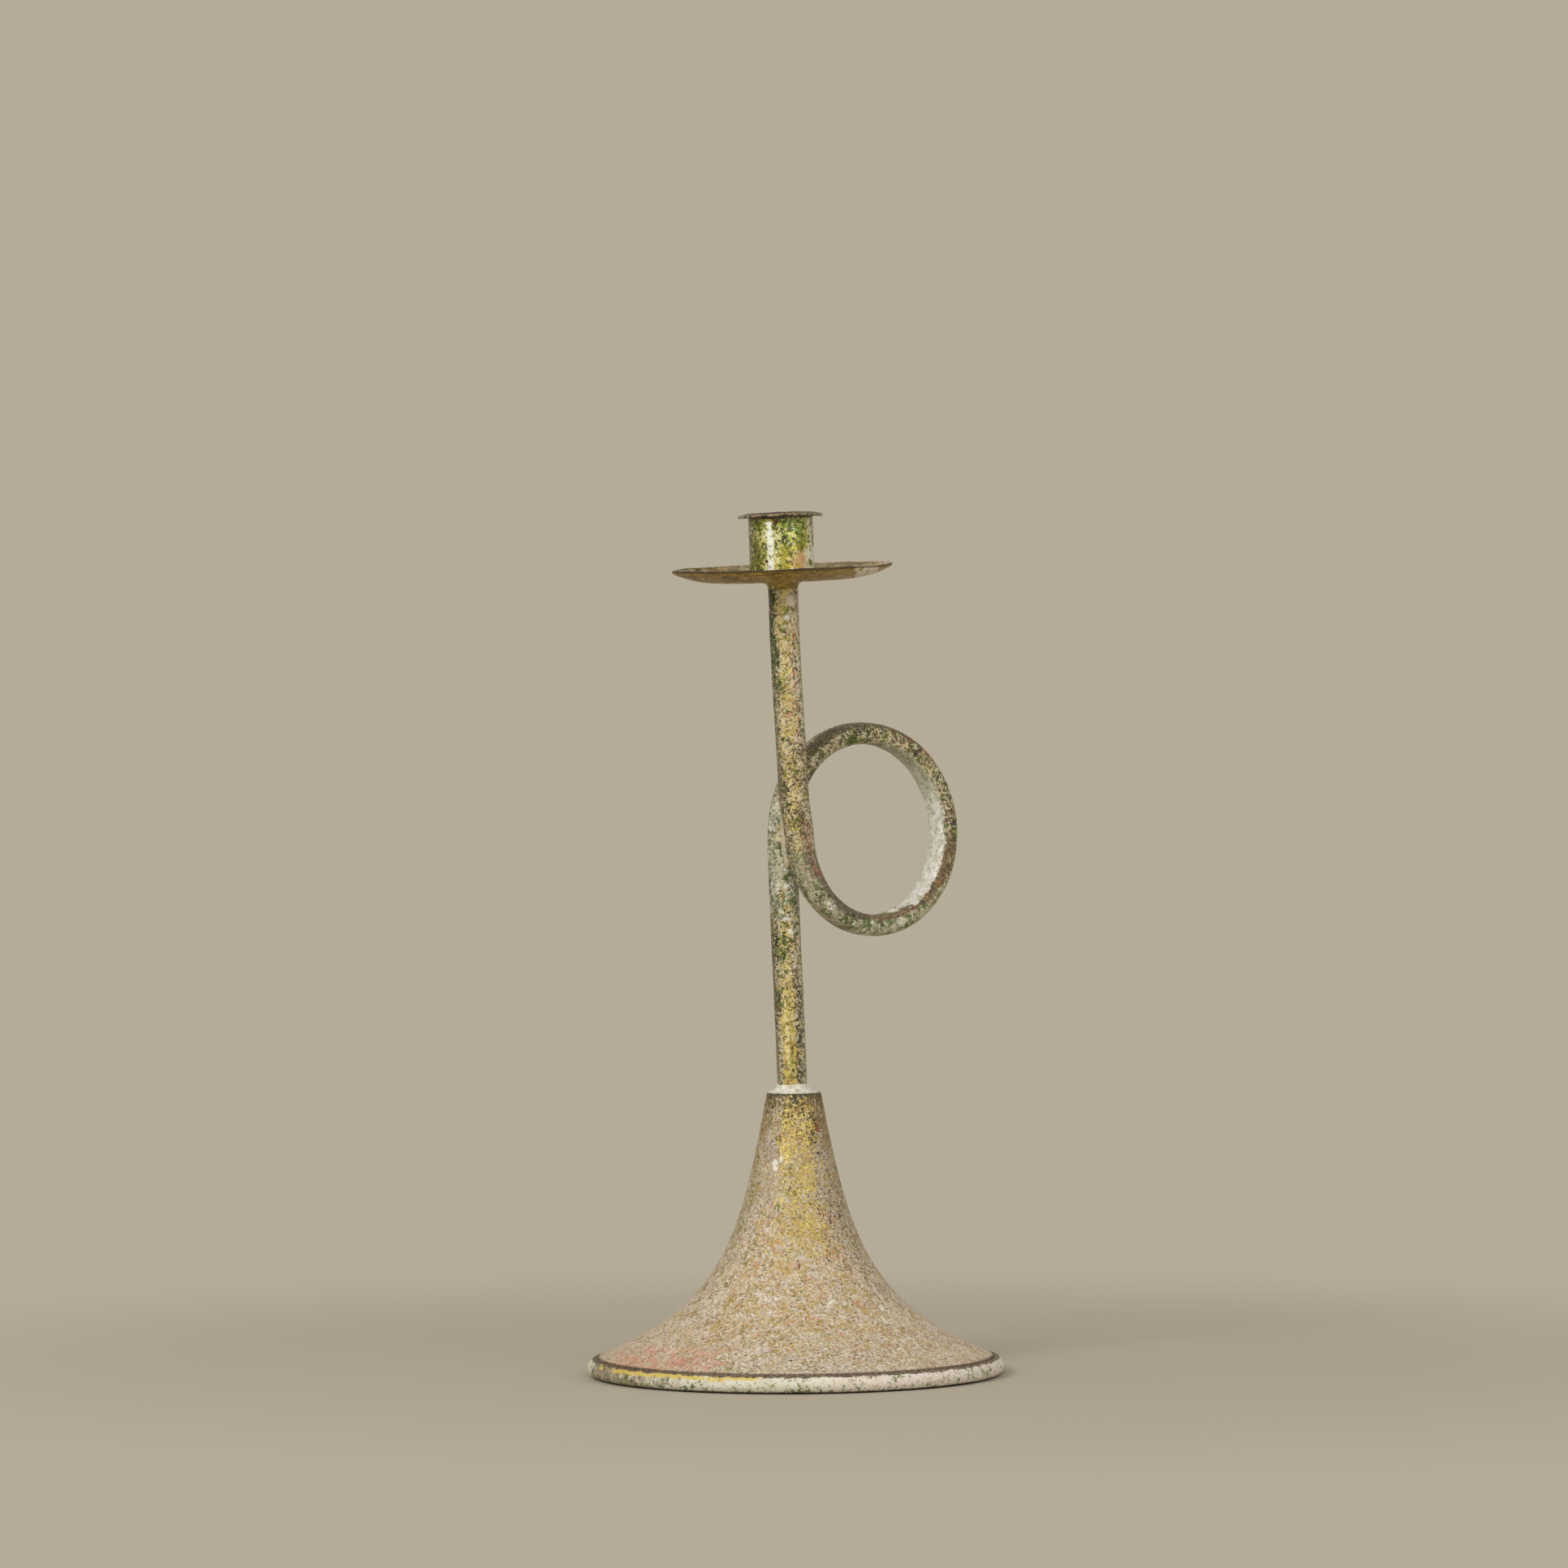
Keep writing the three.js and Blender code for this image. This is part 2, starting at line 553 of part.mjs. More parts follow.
// Stacks the head's pieces from the tube's end upwards, each a seat gap above the one below.
function head(top) {
  const group = new THREE.Group();
  group.position.copy(top);
  group.rotation.y = -rad(HEAD_LEAN);
  const washer = ring(SCREW_HOLE_RADIUS, WASHER_RADIUS, WASHER_THICKNESS);
  const plug = ring(SCREW_HOLE_RADIUS, TUBE_RADIUS - TUBE_WALL - SEAT_GAP, PLUG_LENGTH);
  const panHeight = SEAT_GAP;
  const cupHeight = panHeight + PAN_SHEET + SEAT_GAP;
  const washerHeight = cupHeight + CUP_FLOOR + SEAT_GAP;
  const screwHeight = washerHeight + WASHER_THICKNESS + SEAT_GAP;
  const stack = [
    [piece('stem_plug', plug, STEEL), -PLUG_LENGTH],
    [piece('pan_collar', panCollar(), COLLAR_PAINT), 0],
    [piece('drip_pan', dripPan(), PAN_PAINT), panHeight],
    [piece('candle_cup', candleCup(), CUP_PAINT), cupHeight],
    [piece('cup_washer', washer, STEEL), washerHeight],
    [piece('cup_screw', cupScrew(), STEEL), screwHeight],
  ];
  for (const [mesh, height] of stack) {
    mesh.position.z = height;
    group.add(mesh);
  }
  return group;
}

const route = stemRoute();
const stations = routeStations(route);

const holder = new THREE.Group();
holder.name = 'taper_candle_holder';
holder.add(
  bellShell(),
  rimWire(),
  neckCap(route.foot),
  footWeld(route.foot),
  stemTube(stations),
  crossingBraze(stations),
  head(route.top),
);

export default holder;
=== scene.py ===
"""The looks of a taper candle holder in the shape of a coiled post horn.

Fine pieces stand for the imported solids, in the same frame and in metres, and each one carries a
worn, hand-painted finish. The photograph is taken from the left of the front, at 33 degrees.
"""

from __future__ import annotations

import logging
import math
from collections.abc import Callable, Sequence
from dataclasses import dataclass
from enum import Enum
from functools import cached_property

import bpy
from mathutils import Matrix, Vector


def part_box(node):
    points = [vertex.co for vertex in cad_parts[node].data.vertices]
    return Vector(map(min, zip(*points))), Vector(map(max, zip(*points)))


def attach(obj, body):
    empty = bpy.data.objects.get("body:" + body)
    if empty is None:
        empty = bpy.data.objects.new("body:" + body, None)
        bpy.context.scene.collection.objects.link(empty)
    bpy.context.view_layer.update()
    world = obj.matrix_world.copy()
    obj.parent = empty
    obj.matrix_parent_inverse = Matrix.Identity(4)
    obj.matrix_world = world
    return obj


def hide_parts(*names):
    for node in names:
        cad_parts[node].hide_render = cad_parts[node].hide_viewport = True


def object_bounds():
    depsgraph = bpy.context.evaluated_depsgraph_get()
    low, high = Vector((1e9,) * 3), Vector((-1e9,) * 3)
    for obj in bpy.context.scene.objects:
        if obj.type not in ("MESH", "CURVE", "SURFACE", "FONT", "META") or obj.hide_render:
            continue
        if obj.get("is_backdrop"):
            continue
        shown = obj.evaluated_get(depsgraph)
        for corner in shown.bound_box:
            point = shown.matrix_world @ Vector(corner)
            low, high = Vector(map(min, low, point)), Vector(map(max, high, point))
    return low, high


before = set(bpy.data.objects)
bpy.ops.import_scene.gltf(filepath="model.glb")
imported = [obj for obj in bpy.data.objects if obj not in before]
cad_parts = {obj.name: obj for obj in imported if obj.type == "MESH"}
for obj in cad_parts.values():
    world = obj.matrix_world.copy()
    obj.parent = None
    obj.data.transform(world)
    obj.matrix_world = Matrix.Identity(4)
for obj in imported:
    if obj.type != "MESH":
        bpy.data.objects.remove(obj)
CAD_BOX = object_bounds()

LOG = logging.getLogger("candle_holder")
BODY = "root"
VIEW_AZIMUTH = math.radians(-33)
VIEW_RIGHT = Vector((math.cos(VIEW_AZIMUTH), math.sin(VIEW_AZIMUTH), 0))
VIEW_NEAR = Vector((math.sin(VIEW_AZIMUTH), -math.cos(VIEW_AZIMUTH), 0))

# Radius and height of a point in a turned profile.
Point = tuple[float, float]
Colour = tuple[float, float, float, float]
# Gives how much of a change a place takes, from 0 to 1.
Share = Callable[[Vector], float]


def paint(red: int, green: int, blue: int) -> Colour:
    """A colour as a screen shows it, turned into scene-linear light.

    Args:
        red: Red from 0 to 255.
        green: Green from 0 to 255.
        blue: Blue from 0 to 255.

    Returns:
        The linear colour with full alpha.
    """
    linear = (
        ((c / 255 + 0.055) / 1.055) ** 2.4 if c > 10 else c / 255 / 12.92
        for c in (red, green, blue)
    )
    return (*linear, 1.0)


def smooth(value: float, low: float, high: float) -> float:
    """Rises smoothly from 0 at low to 1 at high.

    Args:
        value: The number to place between the two.
        low: Where the rise starts.
        high: Where it ends.

    Returns:
        The smooth share from 0 to 1.
    """
    share = min(max((value - low) / (high - low), 0.0), 1.0)
    return share * share * (3 - 2 * share)


def blend(first: float, second: float, share: float) -> float:
    """Goes from one number to another by a share from 0 to 1."""
    return first + (second - first) * share


def arc(centre: Point, radius: float, start: float, end: float, steps: int) -> list[Point]:
    """Points along an arc in the plane of a turned profile.

    Args:
        centre: The arc's centre, as radius and height.
        radius: The arc's own radius.
        start: First angle in degrees, with 0 outwards and 90 up.
        end: Last angle in degrees.
        steps: How many spans the arc has.

    Returns:
        The points from start to end.
    """
    angles = [math.radians(blend(start, end, i / steps)) for i in range(steps + 1)]
    return [(centre[0] + radius * math.cos(a), centre[1] + radius * math.sin(a)) for a in angles]


def bezier(points: Sequence[Point], steps: int) -> list[Point]:
    """Points along a Bezier curve with any number of control points.

    Args:
        points: The control points, as radius and height.
        steps: How many spans the curve has.

    Returns:
        The points from the first control point to the last.
    """
    found = []
    for i in range(steps + 1):
        level = list(points)
        while len(level) > 1:
            level = [
                (blend(a[0], b[0], i / steps), blend(a[1], b[1], i / steps))
                for a, b in zip(level, level[1:])
            ]
        found.append(level[0])
    return found


def offset(points: Sequence[Point], distance: float) -> list[Point]:
    """Moves a line of points sideways, to the right of its travel.

    Args:
        points: The line, as radius and height.
        distance: How far it moves.

    Returns:
        The moved line, in the same order.
    """
    moved = []
    for i, (radius, height) in enumerate(points):
        before, after = points[max(i - 1, 0)], points[min(i + 1, len(points) - 1)]
        run, rise = after[0] - before[0], after[1] - before[1]
        length = math.hypot(run, rise)
        moved.append((radius + distance * rise / length, height - distance * run / length))
    return moved


def outwards(inner: float, outer: float) -> Share:
    """A share that rises from 0 at one distance from the upright axis to 1 at another."""
    return lambda p: smooth(math.hypot(p.x, p.y), inner, outer)


class Slot(Enum):
    """The record's material slots."""

    BELL = "bell_paint"
    STEM = "stem_paint"
    WELD = "weld_paint"
    PAN = "pan_paint"
    CUP = "cup_gilding"
    STEEL = "bare_steel"


@dataclass(frozen=True)
class Dents:
    """Unevenness of a surface.

    Attributes:
        size: How wide a dent is.
        depth: The whole depth from the highest to the lowest place.
        direction: NORMAL, X, Y or Z.
    """

    size: float
    depth: float
    direction: str = "NORMAL"


class Bench:
    """Modelling steps as at a workbench, each with its selection settled first."""

    SEED_SIZE = 0.001
    MERGE_DISTANCE = 1e-6
    SEAM_DISTANCE = 1e-7

    @staticmethod
    def clear() -> None:
        """Leaves edit mode and deselects everything."""
        if bpy.context.object and bpy.context.object.mode != "OBJECT":
            bpy.ops.object.mode_set(mode="OBJECT")
        bpy.ops.object.select_all(action="DESELECT")

    @staticmethod
    def pick(piece: bpy.types.Object) -> None:
        """Makes one piece the only selected and active one.

        Args:
            piece: The piece to work on.
        """
        Bench.clear()
        piece.select_set(True)
        bpy.context.view_layer.objects.active = piece

    @staticmethod
    def edit_all(piece: bpy.types.Object) -> None:
        """Opens a piece in edit mode with all of it selected.

        Args:
            piece: The piece to work on.
        """
        Bench.pick(piece)
        bpy.ops.object.mode_set(mode="EDIT")
        bpy.ops.mesh.select_all(action="SELECT")

    @staticmethod
    def close(piece: bpy.types.Object) -> None:
        """Merges doubled corners and turns the faces out.

        Args:
            piece: The piece to work on.
        """
        Bench.edit_all(piece)
        bpy.ops.mesh.remove_doubles(threshold=Bench.MERGE_DISTANCE)
        bpy.ops.mesh.normals_make_consistent(inside=False)
        bpy.ops.object.mode_set(mode="OBJECT")

    @staticmethod
    def turn(name: str, profile: Sequence[Point], sides: int) -> bpy.types.Object:
        """Turns a closed profile round the upright axis, as on a lathe.

        Args:
            name: The piece's name.
            profile: Its outline, as radius and height, with the last point joined to the first.
            sides: How many steps go round.

        Returns:
            The turned piece.
        """
        Bench.clear()
        start = profile[0]
        bpy.ops.mesh.primitive_plane_add(size=Bench.SEED_SIZE)
        piece = bpy.context.object
        piece.name = piece.data.name = name
        bpy.ops.object.mode_set(mode="EDIT")
        bpy.ops.mesh.merge(type="CENTER")
        bpy.ops.transform.translate(value=(start[0], 0, start[1]))
        for before, after in zip(profile, [*profile[1:], start]):
            step = (after[0] - before[0], 0, after[1] - before[1])
            bpy.ops.mesh.extrude_vertices_move(TRANSFORM_OT_translate={"value": step})
        bpy.ops.mesh.select_all(action="SELECT")
        bpy.ops.mesh.remove_doubles(threshold=Bench.SEAM_DISTANCE)
        bpy.ops.mesh.spin(steps=sides, angle=2 * math.pi, center=(0, 0, 0), axis=(0, 0, 1))
        Bench.close(piece)
        return piece

    @staticmethod
    def weigh(piece: bpy.types.Object, share: Share) -> str:
        """Adds a vertex group whose weight depends on place.

        Args:
            piece: The piece that gets the group.
            share: Gives a weight from 0 to 1 for a corner's place.

        Returns:
            The group's name.
        """
        group = piece.vertex_groups.new(name="share")
        for corner in piece.data.vertices:
            group.add([corner.index], share(corner.co), "REPLACE")
        return group.name

    @staticmethod
    def displace(
        piece: bpy.types.Object,
        strength: float,
        middle: float,
        direction: str,
        share: Share | None,
        texture: bpy.types.Texture | None = None,
    ) -> None:
        """Displaces a surface, evenly or by a texture.

        Args:
            piece: The piece to change.
            strength: How far the texture's full height moves it.
            middle: The texture's height that doesn't move.
            direction: NORMAL, X, Y or Z.
            share: Gives how much of the strength a place takes, or None for all of it.
            texture: The texture, or None for full height all over.
        """
        Bench.pick(piece)
        modifier = piece.modifiers.new("displace", "DISPLACE")
        modifier.texture = texture
        modifier.texture_coords = "LOCAL"
        modifier.direction = direction
        modifier.strength = strength
        modifier.mid_level = middle
        if share:
            modifier.vertex_group = Bench.weigh(piece, share)
        bpy.ops.object.modifier_apply(modifier=modifier.name)
        piece.vertex_groups.clear()

    @staticmethod
    def dent(piece: bpy.types.Object, dents: Dents, share: Share | None = None) -> None:
        """Makes a surface uneven.

        Args:
            piece: The piece to change.
            dents: The dents' size and depth.
            share: Gives how much of the depth a place takes, or None for all of it.
        """
        texture = bpy.data.textures.new("dents", "CLOUDS")
        texture.noise_scale = dents.size
        texture.noise_depth = 1
        Bench.displace(piece, dents.depth, 0.5, dents.direction, share, texture)
        bpy.data.textures.remove(texture)

    @staticmethod
    def settle(piece: bpy.types.Object, place: Matrix, crisp: float = 38) -> None:
        """Puts a piece in its place in its own mesh and shades it smooth.

        Args:
            piece: The piece to place.
            place: Where it goes.
            crisp: The least angle in degrees at which an edge stays crisp.
        """
        Bench.pick(piece)
        piece.matrix_world = place @ piece.matrix_world
        bpy.ops.object.transform_apply(location=True, rotation=True, scale=True)
        bpy.ops.object.shade_smooth_by_angle(angle=math.radians(crisp))


class Value:
    """A number or vector on its way through a finish, used in plain sums."""

    def __init__(self, graph: Graph, socket: bpy.types.NodeSocket) -> None:
        """Keeps the socket and the graph that it belongs to."""
        self.graph = graph
        self.socket = socket

    def __add__(self, other: Value | float) -> Value:
        """Adds a number."""
        return self.graph.math("ADD", self, other)

    __radd__ = __add__

    def __sub__(self, other: Value | float) -> Value:
        """Takes a number away."""
        return self.graph.math("SUBTRACT", self, other)

    def __rsub__(self, other: Value | float) -> Value:
        """Is taken away from a number."""
        return self.graph.math("SUBTRACT", other, self)

    def __mul__(self, other: Value | float) -> Value:
        """Multiplies by a number."""
        return self.graph.math("MULTIPLY", self, other)

    __rmul__ = __mul__

    def __truediv__(self, other: Value | float) -> Value:
        """Divides by a number."""
        return self.graph.math("DIVIDE", self, other)

    def __abs__(self) -> Value:
        """Drops the sign."""
        return self.graph.math("ABSOLUTE", self)


class Graph:
    """The nodes of one finish or of the sky, with short names for what they use."""

    NOISE_ROUGHNESS = 0.55

    def __init__(self, owner: bpy.types.Material | bpy.types.World) -> None:
        """Starts from an empty node tree.

        Args:
            owner: The material or world that the nodes belong to.
        """
        owner.use_nodes = True
        self.owner = owner
        self.tree = owner.node_tree
        self.tree.nodes.clear()

    @classmethod
    def finish(cls, name: str) -> Graph:
        """Starts a new material."""
        return cls(bpy.data.materials.new(name))

    @cached_property
    def place(self) -> Value:
        """A point of the surface in the shared frame."""
        return self.value("ShaderNodeTexCoord", output="Object")

    @cached_property
    def facing(self) -> Value:
        """The way that the surface faces."""
        return self.value("ShaderNodeNewGeometry", output="Normal")

    def feed(self, socket: bpy.types.NodeSocket, given: Value | float | Sequence[float]) -> None:
        """Links a value to a socket, or sets the socket to a plain number or colour.

        Args:
            socket: The input to fill.
            given: What it gets.
        """
        if isinstance(given, Value):
            self.tree.links.new(given.socket, socket)
        else:
            socket.default_value = given

    def node(self, kind: str, settings: dict | None = None, inputs: dict | None = None) -> bpy.types.Node:
        """Adds a node with its settings first and then its inputs.

        Args:
            kind: The node's type.
            settings: Its properties by name.
            inputs: Values or plain numbers by the input's name or number.

        Returns:
            The new node.
        """
        node = self.tree.nodes.new(kind)
        for name, setting in (settings or {}).items():
            setattr(node, name, setting)
        for name, given in (inputs or {}).items():
            self.feed(node.inputs[name], given)
        return node

    def value(
        self, kind: str, settings: dict | None = None, inputs: dict | None = None, output: str | int = 0
    ) -> Value:
        """Adds a node, as the method node does, and gives one of its outputs."""
        return Value(self, self.node(kind, settings, inputs).outputs[output])

    def math(self, operation: str, *given: Value | float) -> Value:
        """Works out one sum on numbers."""
        return self.value("ShaderNodeMath", {"operation": operation}, dict(enumerate(given)))

    def vector(self, operation: str, *given: Value | Sequence[float], output: str | int = 0) -> Value:
        """Works out one sum on vectors."""
        return self.value("ShaderNodeVectorMath", {"operation": operation}, dict(enumerate(given)), output)

    def along(self, vector: Value, direction: Sequence[float]) -> Value:
        """How far a vector goes along a direction."""
        return self.vector("DOT_PRODUCT", vector, tuple(direction), output="Value")

    def apart(self, vector: Value, point: Sequence[float]) -> Value:
        """How far a place is from a point."""
        return self.vector("DISTANCE", vector, tuple(point), output="Value")

    def hypot(self, x: Value, y: Value) -> Value:
        """The length of the vector with these two parts."""
        return self.math("SQRT", x * x + y * y)

    def stretched(self, vector: Value, scale: Sequence[float], shift: float = 0.0) -> Value:
        """A place scaled on each axis and then moved, to vary a pattern."""
        scaled = self.vector("MULTIPLY", vector, tuple(scale))
        return self.vector("ADD", scaled, (shift, shift * 0.7, -shift))

    def attribute(self, name: str) -> Value:
        """A number that the piece's own mesh carries."""
        settings = {"attribute_type": "GEOMETRY", "attribute_name": name}
        return self.value("ShaderNodeAttribute", settings, output="Fac")

    def rise(self, given: Value, low: float, high: float) -> Value:
        """Rises smoothly from 0 at low to 1 at high, or falls where low is above high.

        Args:
            given: The value to place.
            low: Where the result is 0.
            high: Where the result is 1.

        Returns:
            The smooth share.
        """
        start, end = (0.0, 1.0) if low <= high else (1.0, 0.0)
        span = {"From Min": min(low, high), "From Max": max(low, high), "To Min": start, "To Max": end}
        settings = {"interpolation_type": "SMOOTHSTEP"}
        return self.value("ShaderNodeMapRange", settings, {"Value": given, **span}, "Result")

    def between(self, given: Value, low: float, high: float, soft: float) -> Value:
        """Is 1 between two numbers and fades out over a soft width on both sides."""
        return self.rise(given, low - soft, low) * self.rise(given, high + soft, high)

    def noise(
        self, size: float, detail: float, shift: float, warp: float = 0.0, vector: Value | None = None
    ) -> Value:
        """A cloudy pattern from 0 to 1, with 0.5 in the middle.

        Args:
            size: How wide a cloud is.
            detail: How many finer levels it has.
            shift: Moves the pattern, so that two of the same size differ.
            warp: How much it curls.
            vector: The place that it follows, or None for the plain place.

        Returns:
            The pattern.
        """
        moved = self.stretched(vector or self.place, (1 / size,) * 3, shift)
        look = {"Scale": 1.0, "Detail": detail, "Roughness": self.NOISE_ROUGHNESS, "Distortion": warp}
        return self.value("ShaderNodeTexNoise", {}, {"Vector": moved, **look}, "Fac")

    def cloud(self, size: float, detail: float, shift: float, low: float, high: float) -> Value:
        """Where a cloudy pattern is high, or low if low is above high, with soft edges."""
        return self.rise(self.noise(size, detail, shift), low, high)

    def streak(self, start: Vector, end: Vector, width: float) -> Value:
        """A scratch between two points on a surface.

        Args:
            start: Its first end.
            end: Its other end.
            width: How wide it is in the middle.

        Returns:
            A share that is 1 on the scratch.
        """
        length = (end - start).length
        spare = 2 * (width / 2) ** 2 / length
        reach = self.apart(self.place, start) + self.apart(self.place, end) - length
        return self.rise(reach, spare * 1.6, spare * 0.4)

    def mix(self, share: Value | float, first: Value | Colour, second: Value | Colour) -> Value:
        """Goes from one colour to another.

        Args:
            share: 0 for the first colour and 1 for the second.
            first: A colour.
            second: Another colour.

        Returns:
            The mixed colour.
        """
        node = self.node("ShaderNodeMix", {"data_type": "RGBA"}, {"Factor": share})
        sockets = {socket.identifier: socket for socket in node.inputs}
        self.feed(sockets["A_Color"], first)
        self.feed(sockets["B_Color"], second)
        return Value(self, next(s for s in node.outputs if s.identifier == "Result_Color"))

    def surface(
        self,
        colour: Value,
        roughness: Value | float,
        metallic: Value | float,
        height: Value,
        depth: float,
        coat: float = 0.0,
    ) -> bpy.types.Material:
        """Ends a finish in one shader.

        Args:
            colour: The base colour.
            roughness: The roughness.
            metallic: How far it is bare metal.
            height: The relief, from 0 to 1.
            depth: How deep the relief is.
            coat: How strong the clear coat is.

        Returns:
            The finished material.
        """
        relief = {"Strength": 1.0, "Distance": depth, "Height": height}
        inputs = {
            "Base Color": colour,
            "Roughness": roughness,
            "Metallic": metallic,
            "Coat Weight": coat,
            "Coat Roughness": 0.25,
            "Specular IOR Level": 0.4,
            "Normal": self.value("ShaderNodeBump", {}, relief, "Normal"),
        }
        shader = self.value("ShaderNodeBsdfPrincipled", {}, inputs)
        self.node("ShaderNodeOutputMaterial", {}, {"Surface": shader})
        return self.owner


@dataclass(frozen=True)
class Fleck:
    """One scatter of marks in a paint: flakes, specks or blots of one colour.

    Attributes:
        colour: The marks' colour.
        size: How wide a mark is, in metres.
        bar: How high the pattern must be for a mark to show. 0.5 shows half of it.
        shift: Moves the pattern.
        cluster: How strongly the marks gather in patches.
        cover: How far it hides what is under it.
        metal: How metallic it is.
        edge: How soft a mark's edge is.
        detail: How ragged it is.
        patch: How wide the patches are, in metres.
    """

    colour: Colour
    size: float
    bar: float
    shift: float
    cluster: float = 0.3
    cover: float = 0.85
    metal: float = 0.0
    edge: float = 0.05
    detail: float = 3.0
    patch: float = 0.005

    def share(self, graph: Graph, lift: Value | float, place: Value | None = None) -> Value:
        """Where the marks are.

        Args:
            graph: The finish that they belong to.
            lift: Added to the pattern, so that more marks show where it is high.
            place: The place that they follow, or None for the plain place.

        Returns:
            A share from 0 to the marks' cover.
        """
        pattern = graph.noise(self.size, self.detail, self.shift, 0.5, place) + lift
        patches = graph.noise(self.patch, 1.0, self.shift + 0.5, vector=place)
        pattern = pattern + (patches - 0.5) * self.cluster
        return graph.rise(pattern, self.bar - self.edge, self.bar + self.edge) * self.cover


class Coat:
    """Paint built up layer by layer."""

    FLECK_RELIEF = 0.25
    GRAIN_SIZE = 0.0008
    DARK_GRAIN = paint(60, 46, 20)
    LIGHT_GRAIN = paint(230, 220, 192)

    def __init__(self, graph: Graph, colour: Value) -> None:
        """Starts from a ground colour that isn't metallic.

        Args:
            graph: The finish that the paint belongs to.
            colour: The ground colour.
        """
        self.graph = graph
        self.colour = colour
        self.metal: Value | float = 0.0
        self.relief: Value | float = 0.0

    def wash(self, share: Value, colour: Value | Colour, metal: float = 0.0) -> None:
        """Lays a colour over what is there.

        Args:
            share: Where it lies and how far it covers.
            colour: The colour.
            metal: How metallic it is.
        """
        self.colour = self.graph.mix(share, self.colour, colour)
        self.metal = self.metal * (1 - share) + share * metal

    def scatter(self, fleck: Fleck, lift: Value | float = 0.0, place: Value | None = None) -> None:
        """Lays one scatter of marks over what is there, a little raised.

        Args:
            fleck: The marks.
            lift: Added to their pattern, so that more show where it is high.
            place: The place that they follow, or None for the plain place.
        """
        share = fleck.share(self.graph, lift, place)
        self.wash(share, fleck.colour, fleck.metal)
        self.relief = self.relief + share * self.FLECK_RELIEF

    def sprinkle(self, fleck: Fleck, where: Value, lift: Value | float = 0.0) -> None:
        """Lays one scatter of flat marks in one region.

        Args:
            fleck: The marks.
            where: 1 in the region and 0 elsewhere.
            lift: Added to their pattern, so that more show where it is high.
        """
        self.wash(fleck.share(self.graph, lift) * where, fleck.colour, fleck.metal)

    def grain(self, dark: float, light: float) -> None:
        """Breaks up flat marks with fine dark and light grain.

        Args:
            dark: How far the dark grain covers.
            light: How far the light grain covers.
        """
        fine = self.graph.noise(self.GRAIN_SIZE, 3.0, 140.0)
        self.wash(self.graph.rise(fine, 0.43, 0.34) * dark, self.DARK_GRAIN)
        self.wash(self.graph.rise(fine, 0.59, 0.70) * light, self.LIGHT_GRAIN)


PALE = paint(218, 207, 184)
WHITE = paint(232, 229, 214)
GOLD = paint(206, 178, 88)
BRIGHT_GOLD = paint(234, 214, 124)
MOSS = paint(74, 86, 34)
BROWN = paint(104, 84, 58)
DARK = paint(56, 47, 36)
RUST = paint(122, 52, 40)
CORAL = paint(206, 122, 84)


